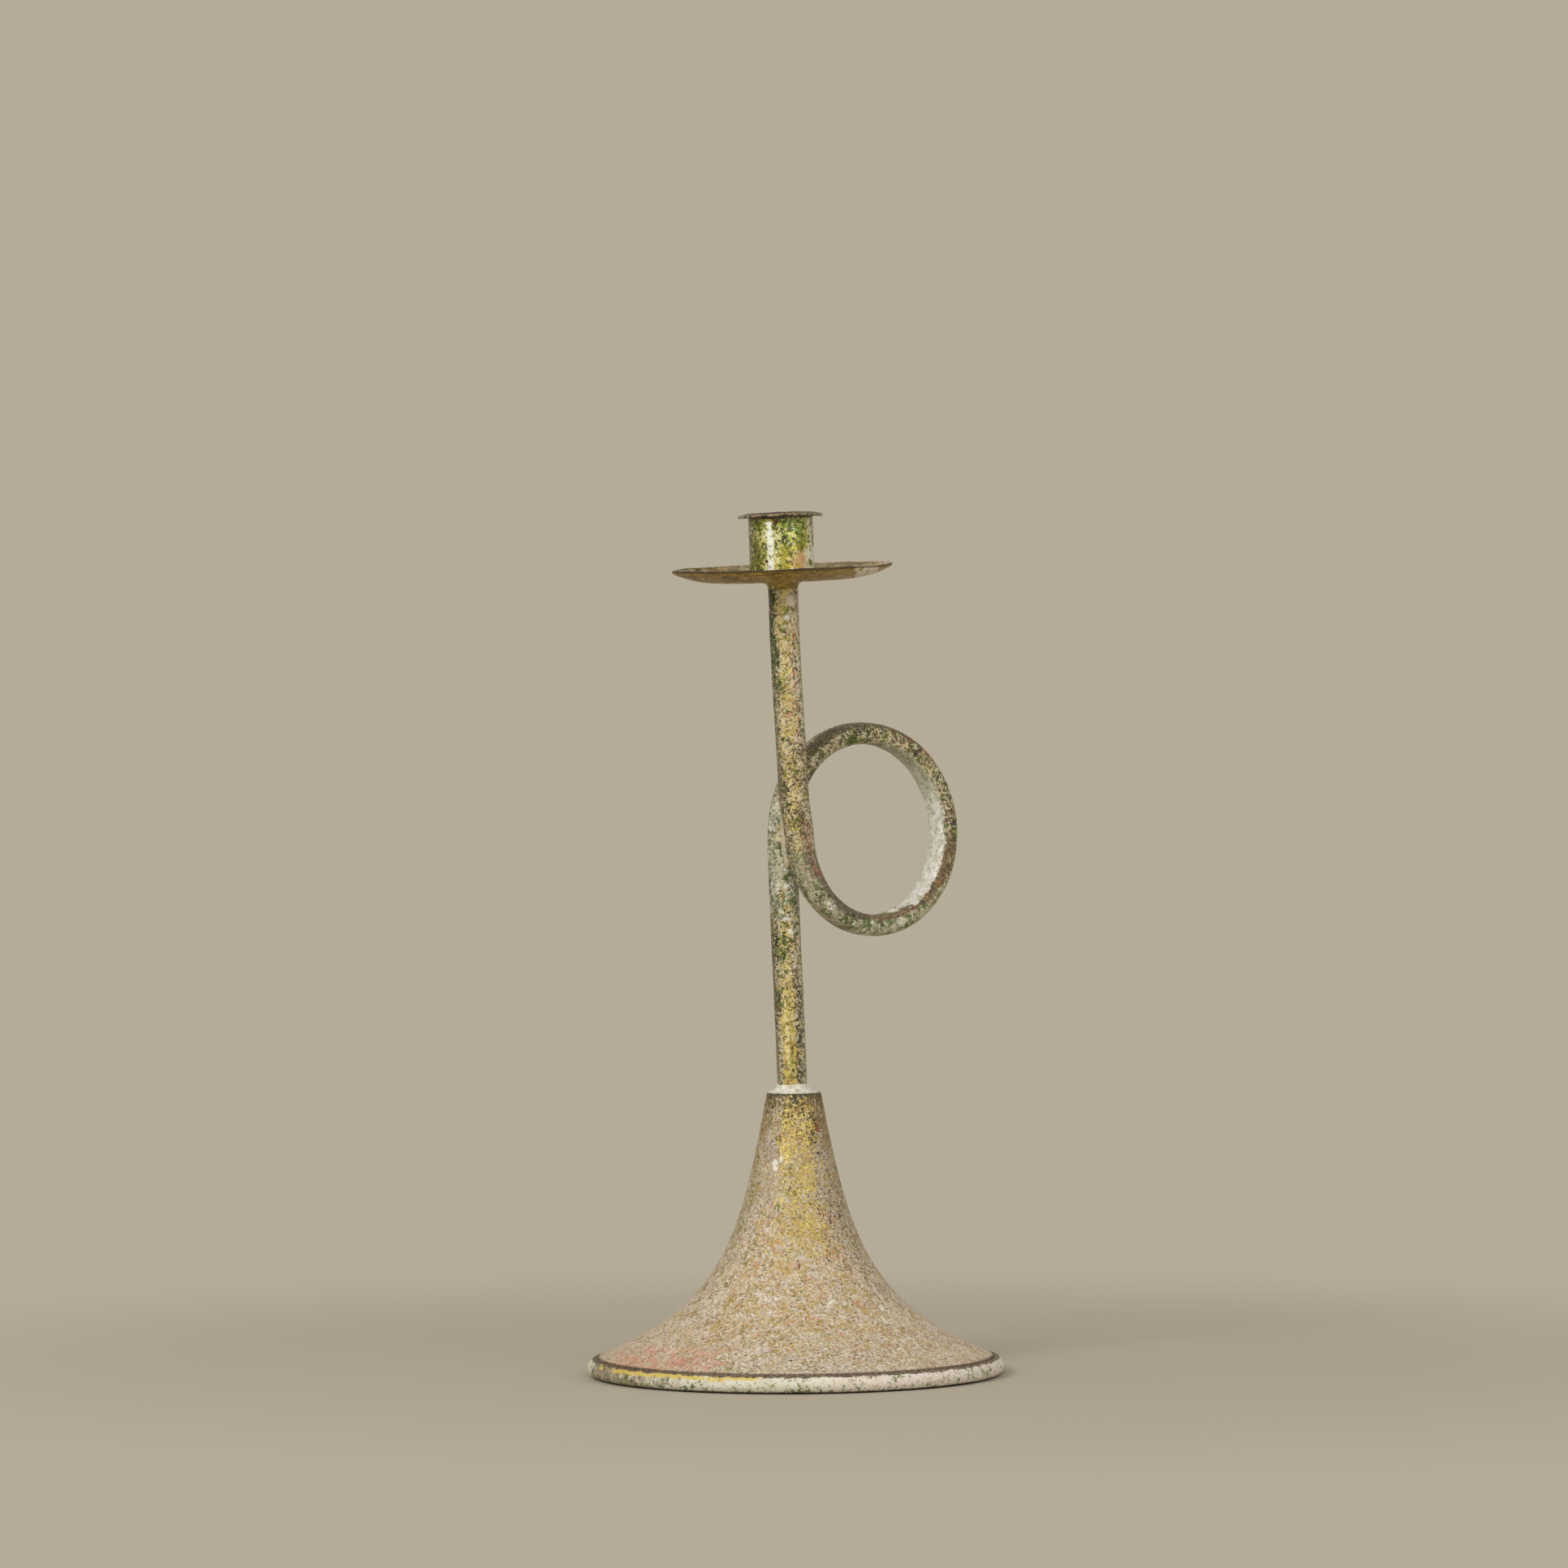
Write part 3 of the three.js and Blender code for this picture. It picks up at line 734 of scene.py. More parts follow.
@dataclass(frozen=True)
class BellFinish:
    """Pale cream paint, gilt down the front, with specks, streaks and a worn rim, and painted shade along
    its sides and at the rim's foot.
    """

    rim_centre: Point
    profile: tuple[Point, ...]
    cap_top: float

    def spot(self, turn: float, height: float) -> Vector:
        """A point on the bell's outside.

        Args:
            turn: Degrees to the right of the side that the photograph sees.
            height: Height above the ground in metres.

        Returns:
            The point.
        """
        high = [p for p in self.profile if p[1] >= height][-1]
        low = next(p for p in self.profile if p[1] < height)
        radius = blend(low[0], high[0], (height - low[1]) / (high[1] - low[1]))
        angle = math.radians(turn)
        flat = VIEW_RIGHT * math.sin(angle) + VIEW_NEAR * math.cos(angle)
        return flat * radius + Vector((0, 0, height))

    def make(self) -> bpy.types.Material:
        """Builds the material.

        Returns:
            The finished material.
        """
        g = Graph.finish("worn_bell_paint")
        x, y, z = (g.along(g.place, axis) for axis in ((1, 0, 0), (0, 1, 0), (0, 0, 1)))
        radius = g.hypot(x, y)
        front = g.rise(g.along(g.place, VIEW_NEAR) / radius, -0.1, 0.4)
        patchy = g.noise(0.006, 3.0, 8.4)
        right = g.along(g.place, VIEW_RIGHT) / radius + (patchy - 0.5) * 0.5

        fine = g.noise(0.0013, 4.0, 4.0)
        coat = Coat(g, g.mix(g.rise(fine, 0.36, 0.64), paint(168, 153, 129), paint(229, 219, 204)))
        coat.wash(g.cloud(0.018, 3.0, 3.1, 0.44, 0.6) * 0.3, paint(198, 178, 146))
        sides = g.rise(abs(right), 0.35, 0.75) * g.rise(z, 0.065, 0.040)
        coat.wash(sides * 0.20, paint(228, 190, 148))
        coat.wash(g.between(z, 0.026, 0.054, 0.012) * 0.15, paint(230, 219, 204))
        coat.wash(g.rise(z, 0.045, 0.085) * 0.60, paint(164, 149, 118))
        crown = g.rise(z, 0.086, 0.106)
        coat.wash(crown * 0.5, paint(152, 134, 94))
        self.leaf(g, coat, z, right * front)
        centred = g.between(right, -0.25, 0.42, 0.25) * (front * 0.75 + 0.25)
        gilt = centred * g.rise(z, 0.045, 0.062)
        glow = g.between(right, -0.55, 0.65, 0.2) * front * g.between(z, 0.022, 0.062, 0.012)
        shade = g.between(right, 0.50, 0.85, 0.15) * front * g.between(z, 0.045, 0.100, 0.02)
        # Painted shade: the bell darkens towards both silhouettes, in the wash below and in the olive and
        # dark specks that this mask lifts.
        flank_shade = g.rise(abs(right), 0.72, 0.98) * g.rise(z, 0.015, 0.05)
        coat.wash(gilt * 0.35, paint(188, 164, 92))
        coat.wash(glow * g.rise(patchy, 0.40, 0.60) * 0.35, paint(196, 166, 106))
        coat.wash(flank_shade * 0.25, paint(140, 120, 84))
        for fleck, lift in (
            (Fleck(paint(172, 150, 112), 0.0012, 0.55, 15.0, 0.2, 0.5), 0.0),
            (Fleck(paint(234, 225, 208), 0.0010, 0.59, 31.0, 0.3, 0.5), 0.0),
            (Fleck(paint(136, 108, 64), 0.0012, 0.64, 35.0, 0.5, 0.8), g.rise(z, 0.060, 0.020) * 0.020),
            (
                Fleck(paint(174, 142, 92), 0.0019, 0.60, 36.0, 0.4, 0.45),
                g.rise(z, 0.060, 0.015) * 0.03 - 0.01,
            ),
            (
                Fleck(paint(228, 218, 202), 0.0017, 0.63, 37.0, 0.4, 0.4),
                g.rise(z, 0.040, 0.015) * 0.03 - 0.02,
            ),
            (
                Fleck(paint(184, 156, 72), 0.0014, 0.64, 11.0, 0.4, 0.8, 0.1),
                glow * 0.06 + gilt * 0.05 + 0.005,
            ),
            (Fleck(paint(104, 84, 50), 0.0010, 0.635, 21.0, 0.25, 0.88), flank_shade * 0.02 + crown * 0.02),
            (Fleck(GOLD, 0.0012, 0.66, 51.0, 0.4, 0.9, 0.4), gilt * 0.10 + crown * 0.02),
            (
                Fleck(BRIGHT_GOLD, 0.0009, 0.69, 61.0, 0.35, 0.95, 0.4, 0.03),
                gilt * 0.085 + crown * 0.02,
            ),
            (Fleck(paint(204, 128, 96), 0.0012, 0.69, 71.0, 0.5, 0.75), glow * 0.040),
            (Fleck(paint(150, 72, 60), 0.0011, 0.705, 81.0, 0.4, 0.75), glow * 0.01 + crown * 0.02),
            (
                Fleck(paint(122, 120, 52), 0.0012, 0.655, 41.0, 0.4, 0.85),
                flank_shade * 0.05 + g.rise(right, 0.2, -0.6) * 0.02,
            ),
            (
                Fleck(paint(40, 34, 26), 0.0009, 0.675, 111.0, 0.25, 0.95),
                shade * 0.07 + crown * 0.08 + flank_shade * 0.02 + gilt * 0.02,
            ),
        ):
            coat.scatter(fleck, lift)

        smear = g.between(right, -0.90, -0.50, 0.12) * front * g.between(z, 0.0078, 0.012, 0.005)
        smear = smear * g.rise(g.noise(0.0045, 5.0, 15.0, 0.6), 0.40, 0.60)
        coat.wash(smear * (g.rise(fine, 0.36, 0.60) * 0.4 + 0.38), paint(204, 122, 104))
        self.grime(g, coat, z, right * front)
        self.scratch(g, coat)
        coat.grain(0.38, 0.32)
        self.prime(g, coat, radius)
        self.rim(g, coat, z, radius, g.along(g.place, VIEW_RIGHT) / radius * front)

        relief = g.noise(0.0009, 2.0, 121.0) * 0.6 + patchy * 0.4 + coat.relief
        shine = g.rise(patchy, 0.35, 0.65) * -0.12 + 0.60 - coat.metal * 0.35
        return g.surface(coat.colour, shine, coat.metal, relief, 0.00016)

    def leaf(self, g: Graph, coat: Coat, z: Value, right: Value) -> None:
        """Lays the torn gold leaf and the bare lilac patch under the bell's neck.

        Args:
            g: The finish.
            coat: Its paint.
            z: Height above the ground.
            right: From -1 on the left to 1 on the right, as the photograph sees it.
        """
        torn = g.noise(0.0022, 4.0, 9.0)
        lilac = g.between(right, -0.75, -0.40, 0.08) * g.between(z, 0.088, 0.107, 0.003)
        coat.wash(lilac * g.rise(torn, 0.40, 0.52) * 0.6, paint(184, 172, 158))
        for start, end, low, high in ((-0.36, -0.10, 0.0915, 0.1100), (0.18, 0.56, 0.0975, 0.1100)):
            leaf = g.between(right, start, end, 0.08) * g.between(z, low, high, 0.003)
            coat.wash(leaf * g.rise(torn, 0.42, 0.52) * 0.9, paint(206, 174, 44), 0.5)
            coat.wash(leaf * g.rise(torn, 0.55, 0.62) * 0.85, paint(240, 218, 122), 0.4)

    def grime(self, g: Graph, coat: Coat, z: Value, right: Value) -> None:
        """Darkens the top of the neck and its flanks.

        Args:
            g: The finish.
            coat: Its paint.
            z: Height above the ground.
            right: From -1 on the left to 1 on the right, as the photograph sees it.
        """
        torn = g.noise(0.0020, 4.0, 19.0)
        rust = g.rise(right, 0.50, 0.70) + g.rise(right, -0.72, -0.88)
        coat.wash(rust * g.rise(z, 0.090, 0.102) * g.rise(torn, 0.58, 0.48) * 0.6, paint(134, 106, 48))
        level = z + (torn - 0.5) * 0.010 - self.cap_top
        fine = g.noise(0.0011, 3.0, 29.0)
        coat.wash(g.rise(level, -0.0070, -0.0030) * g.rise(fine, 0.44, 0.54) * 0.80, paint(74, 58, 26))
        patch = g.between(right, -0.12, 0.14, 0.06) * g.rise(level, -0.0080, -0.0050)
        coat.wash(patch * g.rise(fine, 0.46, 0.54) * 0.70, paint(58, 54, 22))
        coat.wash(g.rise(level, -0.0016, -0.0004) * 0.70, paint(56, 54, 28))

    def scratch(self, g: Graph, coat: Coat) -> None:
        """Adds the white scratches and chips, and the few red touches.

        Args:
            g: The finish.
            coat: Its paint.
        """
        red = paint(128, 50, 44)
        worn = g.cloud(0.0012, 2.0, 13.0, 0.38, 0.46)
        for turn, height, turn_end, height_end, width, colour in (
            (59.0, 0.041, 57.0, 0.0295, 0.0010, WHITE),
            (52.5, 0.0300, 51.0, 0.0285, 0.0018, WHITE),
            (46.5, 0.0260, 45.5, 0.0235, 0.0012, WHITE),
            (49.0, 0.0182, 51.5, 0.0172, 0.0014, WHITE),
            (23.0, 0.0335, 19.0, 0.0320, 0.0014, WHITE),
            (55.5, 0.0125, 60.0, 0.0108, 0.0009, WHITE),
            (-28.0, 0.0880, -26.0, 0.0840, 0.0024, WHITE),
            (-20.0, 0.0900, -19.0, 0.0870, 0.0012, WHITE),
            (40.0, 0.1025, 43.0, 0.0990, 0.0013, red),
            (-62.0, 0.1080, -64.0, 0.1060, 0.0010, red),
            (3.0, 0.0480, 3.0, 0.0452, 0.0010, red),
        ):
            mark = g.streak(self.spot(turn, height), self.spot(turn_end, height_end), width)
            coat.wash(mark * (worn * 0.5 + 0.42), colour)

    def prime(self, g: Graph, coat: Coat, radius: Value) -> None:
        """Turns the paint to dull primer inside the bell.

        Args:
            g: The finish.
            coat: Its paint.
            radius: Distance from the axis.
        """
        down = g.rise(g.along(g.facing, (0, 0, 1)), 0.02, -0.04)
        within = down * g.rise(radius, self.rim_centre[0] - 0.0016, self.rim_centre[0] - 0.0026)
        ground = g.cloud(0.012, 4.0, 33.0, 0.42, 0.6)
        coat.wash(within, g.mix(ground, paint(118, 108, 92), paint(146, 134, 112)))
        rusty = Fleck(RUST, 0.004, 0.64, 35.0, 0.3, 0.7, 0.0, 0.05, 4.0)
        coat.sprinkle(rusty, within)

    def rim(self, g: Graph, coat: Coat, z: Value, radius: Value, side: Value) -> None:
        """Paints the rolled rim: a dark crease, a gilt strip, a pale band with green blots, painted shade
        at the band's right end and a painted contact shadow along its foot.

        Args:
            g: The finish.
            coat: Its paint.
            z: Height above the ground.
            radius: Distance from the axis.
            side: From -1 on the left to 1 on the right, as the photograph sees it.
        """
        out = radius - self.rim_centre[0]
        up = z - self.rim_centre[1]
        ragged = g.noise(0.0035, 4.0, 44.0) - 0.5
        angle = g.math("ARCTAN2", up, out) + ragged * 1.1
        left = g.rise(side + ragged * 1.2, -0.50, -0.86)

        band = Coat(g, g.mix(g.rise(side, -0.1, 0.4), paint(222, 216, 196), paint(230, 217, 204)))
        band.wash(g.cloud(0.004, 3.0, 46.0, 0.45, 0.62) * 0.4, paint(212, 202, 176))
        band.wash(left * 0.85, paint(150, 132, 104))
        # Painted shade: the band darkens towards its right silhouette.
        band.wash(g.rise(side, 0.80, 0.97) * 0.2, paint(190, 174, 150))
        green = g.between(side, -0.05, 0.12, 0.06) * g.rise(up, 0.0, -0.002) * 0.08
        green = g.rise(side, -0.15, -0.5) * 0.04 + green
        for fleck, lift in (
            (Fleck(paint(180, 166, 130), 0.0013, 0.61, 47.0, 0.3, 0.7), 0.0),
            (Fleck(paint(122, 134, 66), 0.0016, 0.66, 48.0, 0.6, 0.85), green),
            (
                Fleck(paint(80, 94, 40), 0.0012, 0.68, 49.0, 0.6, 0.9),
                green + g.rise(up, 0.0, -0.003) * 0.03,
            ),
            (Fleck(DARK, 0.0010, 0.675, 50.0), left * 0.10 + g.rise(side, 0.7, 0.9) * 0.03),
        ):
            band.scatter(fleck, lift)
        strip = g.between(angle, 0.55, 0.98, 0.15) * g.rise(side, -0.02, -0.20)
        strip = strip * g.cloud(0.012, 2.0, 52.0, 0.42, 0.54)
        band.wash(strip * 0.85, paint(214, 186, 80), 0.4)
        crease = g.rise(angle, 0.90, 1.10)
        mud = g.mix(g.cloud(0.0015, 3.0, 53.0, 0.42, 0.60), paint(66, 50, 36), paint(122, 98, 70))
        band.wash(crease * 0.92, mud)
        # Painted contact shadow: a dark line along the rim's foot, where it meets the ground.
        band.wash(g.rise(z + ragged * 0.001, 0.0012, 0.0004), DARK)
        on_rim = g.rise(radius, self.rim_centre[0] - 0.0021, self.rim_centre[0] - 0.0016)
        coat.wash(on_rim * g.rise(z, self.rim_centre[1] + 0.0046, self.rim_centre[1] + 0.0040), band.colour)


@dataclass(frozen=True)
class StemFinish:
    """Cream and gilt paint on the tube, mossy in patches, with dark and white bands in the loop, painted
    shade along its edges and a painted highlight on the gilt.
    """

    loop_centre: Vector
    top: float
    foot: float
    chips: tuple[tuple[Vector, Vector, float, Colour], ...]

    def make(self) -> bpy.types.Material:
        """Builds the material.

        Returns:
            The finished material.
        """
        g = Graph.finish("worn_stem_paint")
        z = g.along(g.place, (0, 0, 1))
        in_loop = g.attribute("in_loop")
        straight = 1 - in_loop
        near = g.rise(g.along(g.facing, VIEW_NEAR), -0.1, 0.3)
        patchy = g.noise(0.0035, 3.0, 2.5)
        drift = g.noise(0.004, 3.0, 7.7, vector=g.stretched(g.place, (1.0, 1.0, 0.35))) - 0.5
        side = g.along(g.facing, VIEW_RIGHT)
        right = side + drift * 1.2

        high = g.rise(z, self.top - 0.062, self.top - 0.030)
        low = g.rise(z, self.foot + 0.050, self.foot + 0.030)
        middle = g.between(z, self.foot + 0.030, self.loop_centre.z - 0.020, 0.012)
        knot = g.between(z, self.loop_centre.z - 0.022, self.loop_centre.z + 0.030, 0.010)
        rising = g.between(z, self.loop_centre.z + 0.020, self.top - 0.060, 0.010) * straight
        gilt = g.between(right, -0.45, 0.30, 0.15) * straight
        left = g.rise(right, -0.34, -0.66) * straight
        pepper = g.rise(right, 0.30, 0.60) * straight
        loop_foot = g.between(z, self.loop_centre.z - 0.050, self.loop_centre.z - 0.012, 0.01)
        above_foot = g.between(z, self.foot + 0.035, self.foot + 0.065, 0.01)
        green = left * high + loop_foot * 0.35 + above_foot * g.between(right, -0.7, -0.2, 0.2) * 0.4
        grime = left * (middle * 0.6 + 0.4 + high * 0.3) + knot * 0.5 + pepper * 0.25 + rising * 0.10

        fine = g.noise(0.0014, 4.0, 1.5)
        coat = Coat(g, g.mix(g.rise(fine, 0.34, 0.66), paint(164, 150, 118), paint(218, 208, 180)))
        coat.wash(g.cloud(0.009, 2.0, 2.1, 0.46, 0.60) * 0.3, paint(190, 166, 112))
        coat.wash(g.between(right, 0.05, 0.45, 0.15) * (1 - low) * straight * 0.30, paint(196, 152, 112))
        coat.wash(g.rise(right, 0.25, 0.55) * straight * 0.35, paint(230, 216, 188))
        coat.wash(high * 0.25, paint(228, 210, 164))
        coat.wash(gilt * 0.40, paint(204, 180, 104))
        coat.wash(low * gilt * 0.65, paint(204, 174, 66), 0.5)
        for fleck, lift in (
            (Fleck(paint(222, 213, 190), 0.0013, 0.575, 12.0, 0.4, 0.75), gilt * -0.03 + pepper * 0.04),
            (
                Fleck(paint(200, 170, 80), 0.0013, 0.605, 32.0, 0.4, 0.8, 0.25),
                gilt * 0.06 + low * gilt * 0.05,
            ),
            (Fleck(paint(88, 68, 30), 0.0012, 0.62, 42.0, 0.3, 0.9), grime * 0.08 + 0.018),
            (Fleck(paint(126, 134, 30), 0.0016, 0.645, 52.0, 0.5, 0.9), green * 0.11 + 0.005),
            (
                Fleck(BRIGHT_GOLD, 0.0010, 0.665, 22.0, 0.4, 0.95, 0.4, 0.03),
                gilt * 0.05 + low * gilt * 0.05,
            ),
            (Fleck(paint(56, 80, 14), 0.0015, 0.665, 62.0, 0.5, 1.0, 0.0, 0.04), green * 0.19),
            (Fleck(CORAL, 0.0013, 0.74, 72.0, 0.5, 0.7), 0.0),
            (
                Fleck(paint(34, 28, 12), 0.0011, 0.655, 82.0, 0.3, 0.95, 0.0, 0.04),
                grime * 0.09 + green * 0.06,
            ),
        ):
            coat.scatter(fleck, lift)
        lines = abs(g.noise(0.0030, 3.0, 88.0, 0.8) - 0.5)
        veined = pepper * 0.75 + left * 0.7 + knot * 0.3 * straight
        veins = g.rise(lines, 0.022, 0.008) * g.rise(patchy, 0.42, 0.52) * veined
        coat.wash(veins * 0.75 * (1 - high * 0.5), paint(58, 50, 38))
        # Painted shade along both edges of the straight runs: plain dark at the right edge, brown at the
        # left edge, which turns green with moss near the top.
        coat.wash(g.rise(side, 0.86, 0.99) * 0.40 * straight, paint(108, 92, 64))
        flank_shade = g.mix(high, paint(84, 66, 42), paint(50, 56, 26))
        coat.wash(g.rise(side, -0.70, -0.94) * 0.60 * straight, flank_shade)
        self.band(g, coat, z, in_loop, patchy)
        self.run(g, coat, z, side + drift * 0.5, near)
        coat.grain(0.50, 0.35)
        for start, end, width, colour in self.chips:
            ragged = g.cloud(0.0014, 3.0, 13.0, 0.36, 0.44)
            coat.wash(g.streak(start, end, width) * ragged * 0.9, colour)

        relief = g.noise(0.0010, 2.0, 102.0) * 0.6 + patchy * 0.5 + coat.relief
        shine = g.rise(patchy, 0.4, 0.62) * -0.12 + 0.46 - coat.metal * 0.3
        return g.surface(coat.colour, shine, coat.metal, relief, 0.00018)

    def band(self, g: Graph, coat: Coat, z: Value, in_loop: Value, patchy: Value) -> None:
        """Paints the loop: bare white inside, greyed towards the top as painted shade, white and green
        below, brown where dirt settles.

        Args:
            g: The finish.
            coat: Its paint.
            z: Height above the ground.
            in_loop: 1 where the tube is flattened by the loop's bend.
            patchy: A pattern that makes the bands' edges ragged.
        """
        x = g.along(g.place, (1, 0, 0)) - self.loop_centre.x
        turn = g.math("ARCTAN2", z - self.loop_centre.z, x)
        # The section's own angle: 0 faces the loop's centre, a quarter turn faces the front.
        face = g.math("ARCTAN2", g.attribute("front"), g.attribute("inward"))
        face = face + (patchy - 0.5) * 0.9 + (g.noise(0.0016, 2.0, 94.0) - 0.5) * 0.6
        turn = turn + (g.noise(0.0050, 4.0, 104.0) - 0.5) * 1.2 * g.rise(abs(turn), 2.6, 2.2)
        below = g.rise(z, self.loop_centre.z + 0.002, self.loop_centre.z - 0.010)
        front_run = g.rise(g.along(g.place, (0, 1, 0)), -0.0065, -0.0095)

        mottle = g.between(turn, -0.2, 3.0, 0.15) * in_loop
        for fleck, lift in (
            (Fleck(paint(92, 72, 38), 0.0013, 0.63, 93.0, 0.4, 0.9), mottle * 0.085),
            (Fleck(paint(84, 104, 22), 0.0017, 0.67, 95.0, 0.6, 0.95), mottle * 0.085 + in_loop * 0.01),
            (Fleck(paint(38, 35, 18), 0.0011, 0.68, 90.0, 0.5, 0.95), mottle * 0.10),
            (Fleck(paint(208, 194, 146), 0.0013, 0.655, 91.0, 0.4, 0.9, 0.1), mottle * 0.055),
        ):
            coat.scatter(fleck, lift)
        shadow = g.between(turn, 2.35, 2.8, 0.15) * g.rise(patchy, 0.46, 0.54) * in_loop
        coat.wash(shadow * 0.7, paint(60, 62, 28))
        wavy = z + (patchy - 0.5) * 0.05 - self.loop_centre.z
        back_run = g.between(wavy, -0.026, 0.012, 0.010) * (1 - front_run)
        back_run = back_run * g.rise(x, -0.028, -0.032) * g.rise(patchy, 0.36, 0.48)
        coat.wash(back_run * 0.6, paint(208, 204, 180))
        outer = g.between(turn, -3.0, -0.9, 0.2) * g.between(face, 1.25, 3.0, 0.25) * in_loop * below
        coat.wash(outer * 0.85, g.mix(g.rise(patchy, 0.4, 0.6), paint(198, 191, 166), paint(156, 150, 114)))
        dirty = outer + back_run
        for fleck in (
            Fleck(paint(238, 236, 224), 0.0014, 0.61, 89.0, 0.5, 0.8),
            Fleck(paint(78, 102, 36), 0.0018, 0.57, 96.0, 0.7, 0.9),
            Fleck(paint(60, 52, 34), 0.0012, 0.615, 97.0, 0.4, 0.9),
        ):
            coat.sprinkle(fleck, dirty)
        torn_turn = turn + (patchy - 0.5) * 1.6
        bare = g.between(torn_turn, -1.25, 1.25, 0.3) * g.between(face, -2.0, 0.80, 0.25) * in_loop
        # Painted shade: the bare inside greys towards the loop's top, where it faces down.
        shaded_bare = g.mix(g.rise(turn, 0.2, 0.9), paint(238, 235, 224), paint(166, 163, 134))
        coat.wash(bare * 0.95, g.mix(g.rise(patchy, 0.38, 0.56), paint(206, 202, 184), shaded_bare))
        for fleck in (
            Fleck(paint(150, 158, 118), 0.0016, 0.62, 98.0, 0.4, 0.6),
            Fleck(BROWN, 0.0010, 0.69, 99.0, 0.3, 0.8),
        ):
            lift = g.rise(turn, 0.0, 0.8) * 0.05 + g.rise(face, 0.1, 0.9) * 0.07
            coat.sprinkle(fleck, bare, lift)

        low_edge = g.rise(turn, -1.5, -0.8) * 0.85 + 0.05
        high_edge = g.rise(turn, -1.5, -2.2) * 0.5 + g.rise(turn, -1.2, -0.5) * 0.6 + 1.15
        silt = g.rise(face - low_edge, -0.12, 0.16) * g.rise(face - high_edge, 0.14, -0.14)
        silt = silt * below * g.rise(turn, 0.0, -0.15) * in_loop
        roof = g.between(turn, 0.95, 2.2, 0.2) * g.rise(face, 1.85, 2.2) * in_loop
        rough = g.cloud(0.0013, 3.0, 92.0, 0.40, 0.60)
        warm = g.mix(g.between(turn, -1.4, 0.0, 0.4), paint(108, 90, 66), paint(134, 102, 56))
        mud = g.mix(rough, paint(58, 44, 32), warm)
        coat.wash(silt * 0.88 + roof * 0.8, mud)
        streak = g.between(face, 1.55, 2.05, 0.12) * front_run * g.between(z, 0.204, 0.229, 0.004)
        streak = streak * g.rise(x, 0.0, -0.012)
        coat.wash(streak * (1 - rough * 0.6) * 0.80, paint(78, 58, 38))
        red = g.between(face, 1.38, 1.50, 0.06) * front_run * g.between(z, 0.204, 0.222, 0.004)
        coat.wash(red * g.rise(x, 0.0, -0.012) * 0.55, paint(168, 94, 68))
        edge = g.between(turn, 0.10, 0.95, 0.25) * g.rise(face, 1.9, 2.3) * g.rise(face, 3.3, 2.9) * in_loop
        coat.wash(edge * g.rise(patchy, 0.42, 0.54) * (rough * 0.5 + 0.35), paint(150, 92, 44))

    def run(self, g: Graph, coat: Coat, z: Value, right: Value, near: Value) -> None:
        """Adds the red run near the top, the dark run near the foot and a painted highlight on the gilt
        near the foot.

        Args:
            g: The finish.
            coat: Its paint.
            z: Height above the ground.
            right: How far the surface faces the photograph's right.
            near: 1 on the side that the photograph sees.
        """
        ragged = g.noise(0.003, 3.0, 112.0) - 0.5
        red = g.between(right, 0.51, 0.55, 0.035) * near * (1 - g.attribute("in_loop"))
        red = red * g.between(z, self.top - 0.062, self.top - 0.020, 0.004)
        coat.wash(red * g.rise(ragged, -0.10, 0.04) * 0.75, paint(180, 92, 62))
        torn = g.noise(0.0016, 4.0, 114.0)
        for start, end, low, high in ((0.34, 0.64, 0.120, 0.133), (0.38, 0.74, 0.137, 0.162)):
            dark = g.between(right + ragged * 0.4, start, end, 0.10) * near * g.between(z, low, high, 0.006)
            coat.wash(dark * g.rise(torn, 0.44, 0.54) * 0.85, paint(58, 42, 28))
        # Painted highlight: a pale streak left of the middle on the gilt, where the key lamp reflects.
        shine = g.between(right, -0.32, -0.10, 0.10) * near * g.between(z, 0.130, 0.152, 0.008)
        coat.wash(shine * g.rise(torn, 0.46, 0.56) * 0.75, paint(238, 224, 164), 0.2)


@dataclass(frozen=True)
class WeldFinish:
    """Thick pale primer over a lumpy bead.

    Attributes:
        name: The material's name.
        worn: How far green and gold marks cover it, 0 for a few.
    """

    name: str
    worn: float

    def make(self) -> bpy.types.Material:
        """Builds the material.

        Returns:
            The finished material.
        """
        g = Graph.finish(self.name)
        cloud = g.noise(0.003, 3.0, 4.0)
        ground = g.mix(g.rise(cloud, 0.4, 0.6), paint(208, 203, 186), WHITE)
        coat = Coat(g, g.mix(self.worn * 0.7, ground, paint(190, 180, 150)))
        for fleck in (
            Fleck(paint(160, 150, 104), 0.0014, 0.63 - 0.05 * self.worn, 14.0, 0.3, 0.7),
            Fleck(GOLD, 0.0011, 0.70 - 0.09 * self.worn, 18.0, 0.3, 0.8, 0.4),
            Fleck(paint(88, 104, 44), 0.0012, 0.69 - 0.06 * self.worn, 24.0, 0.4),
            Fleck(BROWN, 0.0009, 0.68 - 0.06 * self.worn, 34.0, 0.3),
        ):
            coat.scatter(fleck)
        relief = cloud + g.noise(0.0008, 2.0, 44.0) * 0.4 + coat.relief
        return g.surface(coat.colour, 0.5 - coat.metal * 0.2, coat.metal, relief, 0.0003)


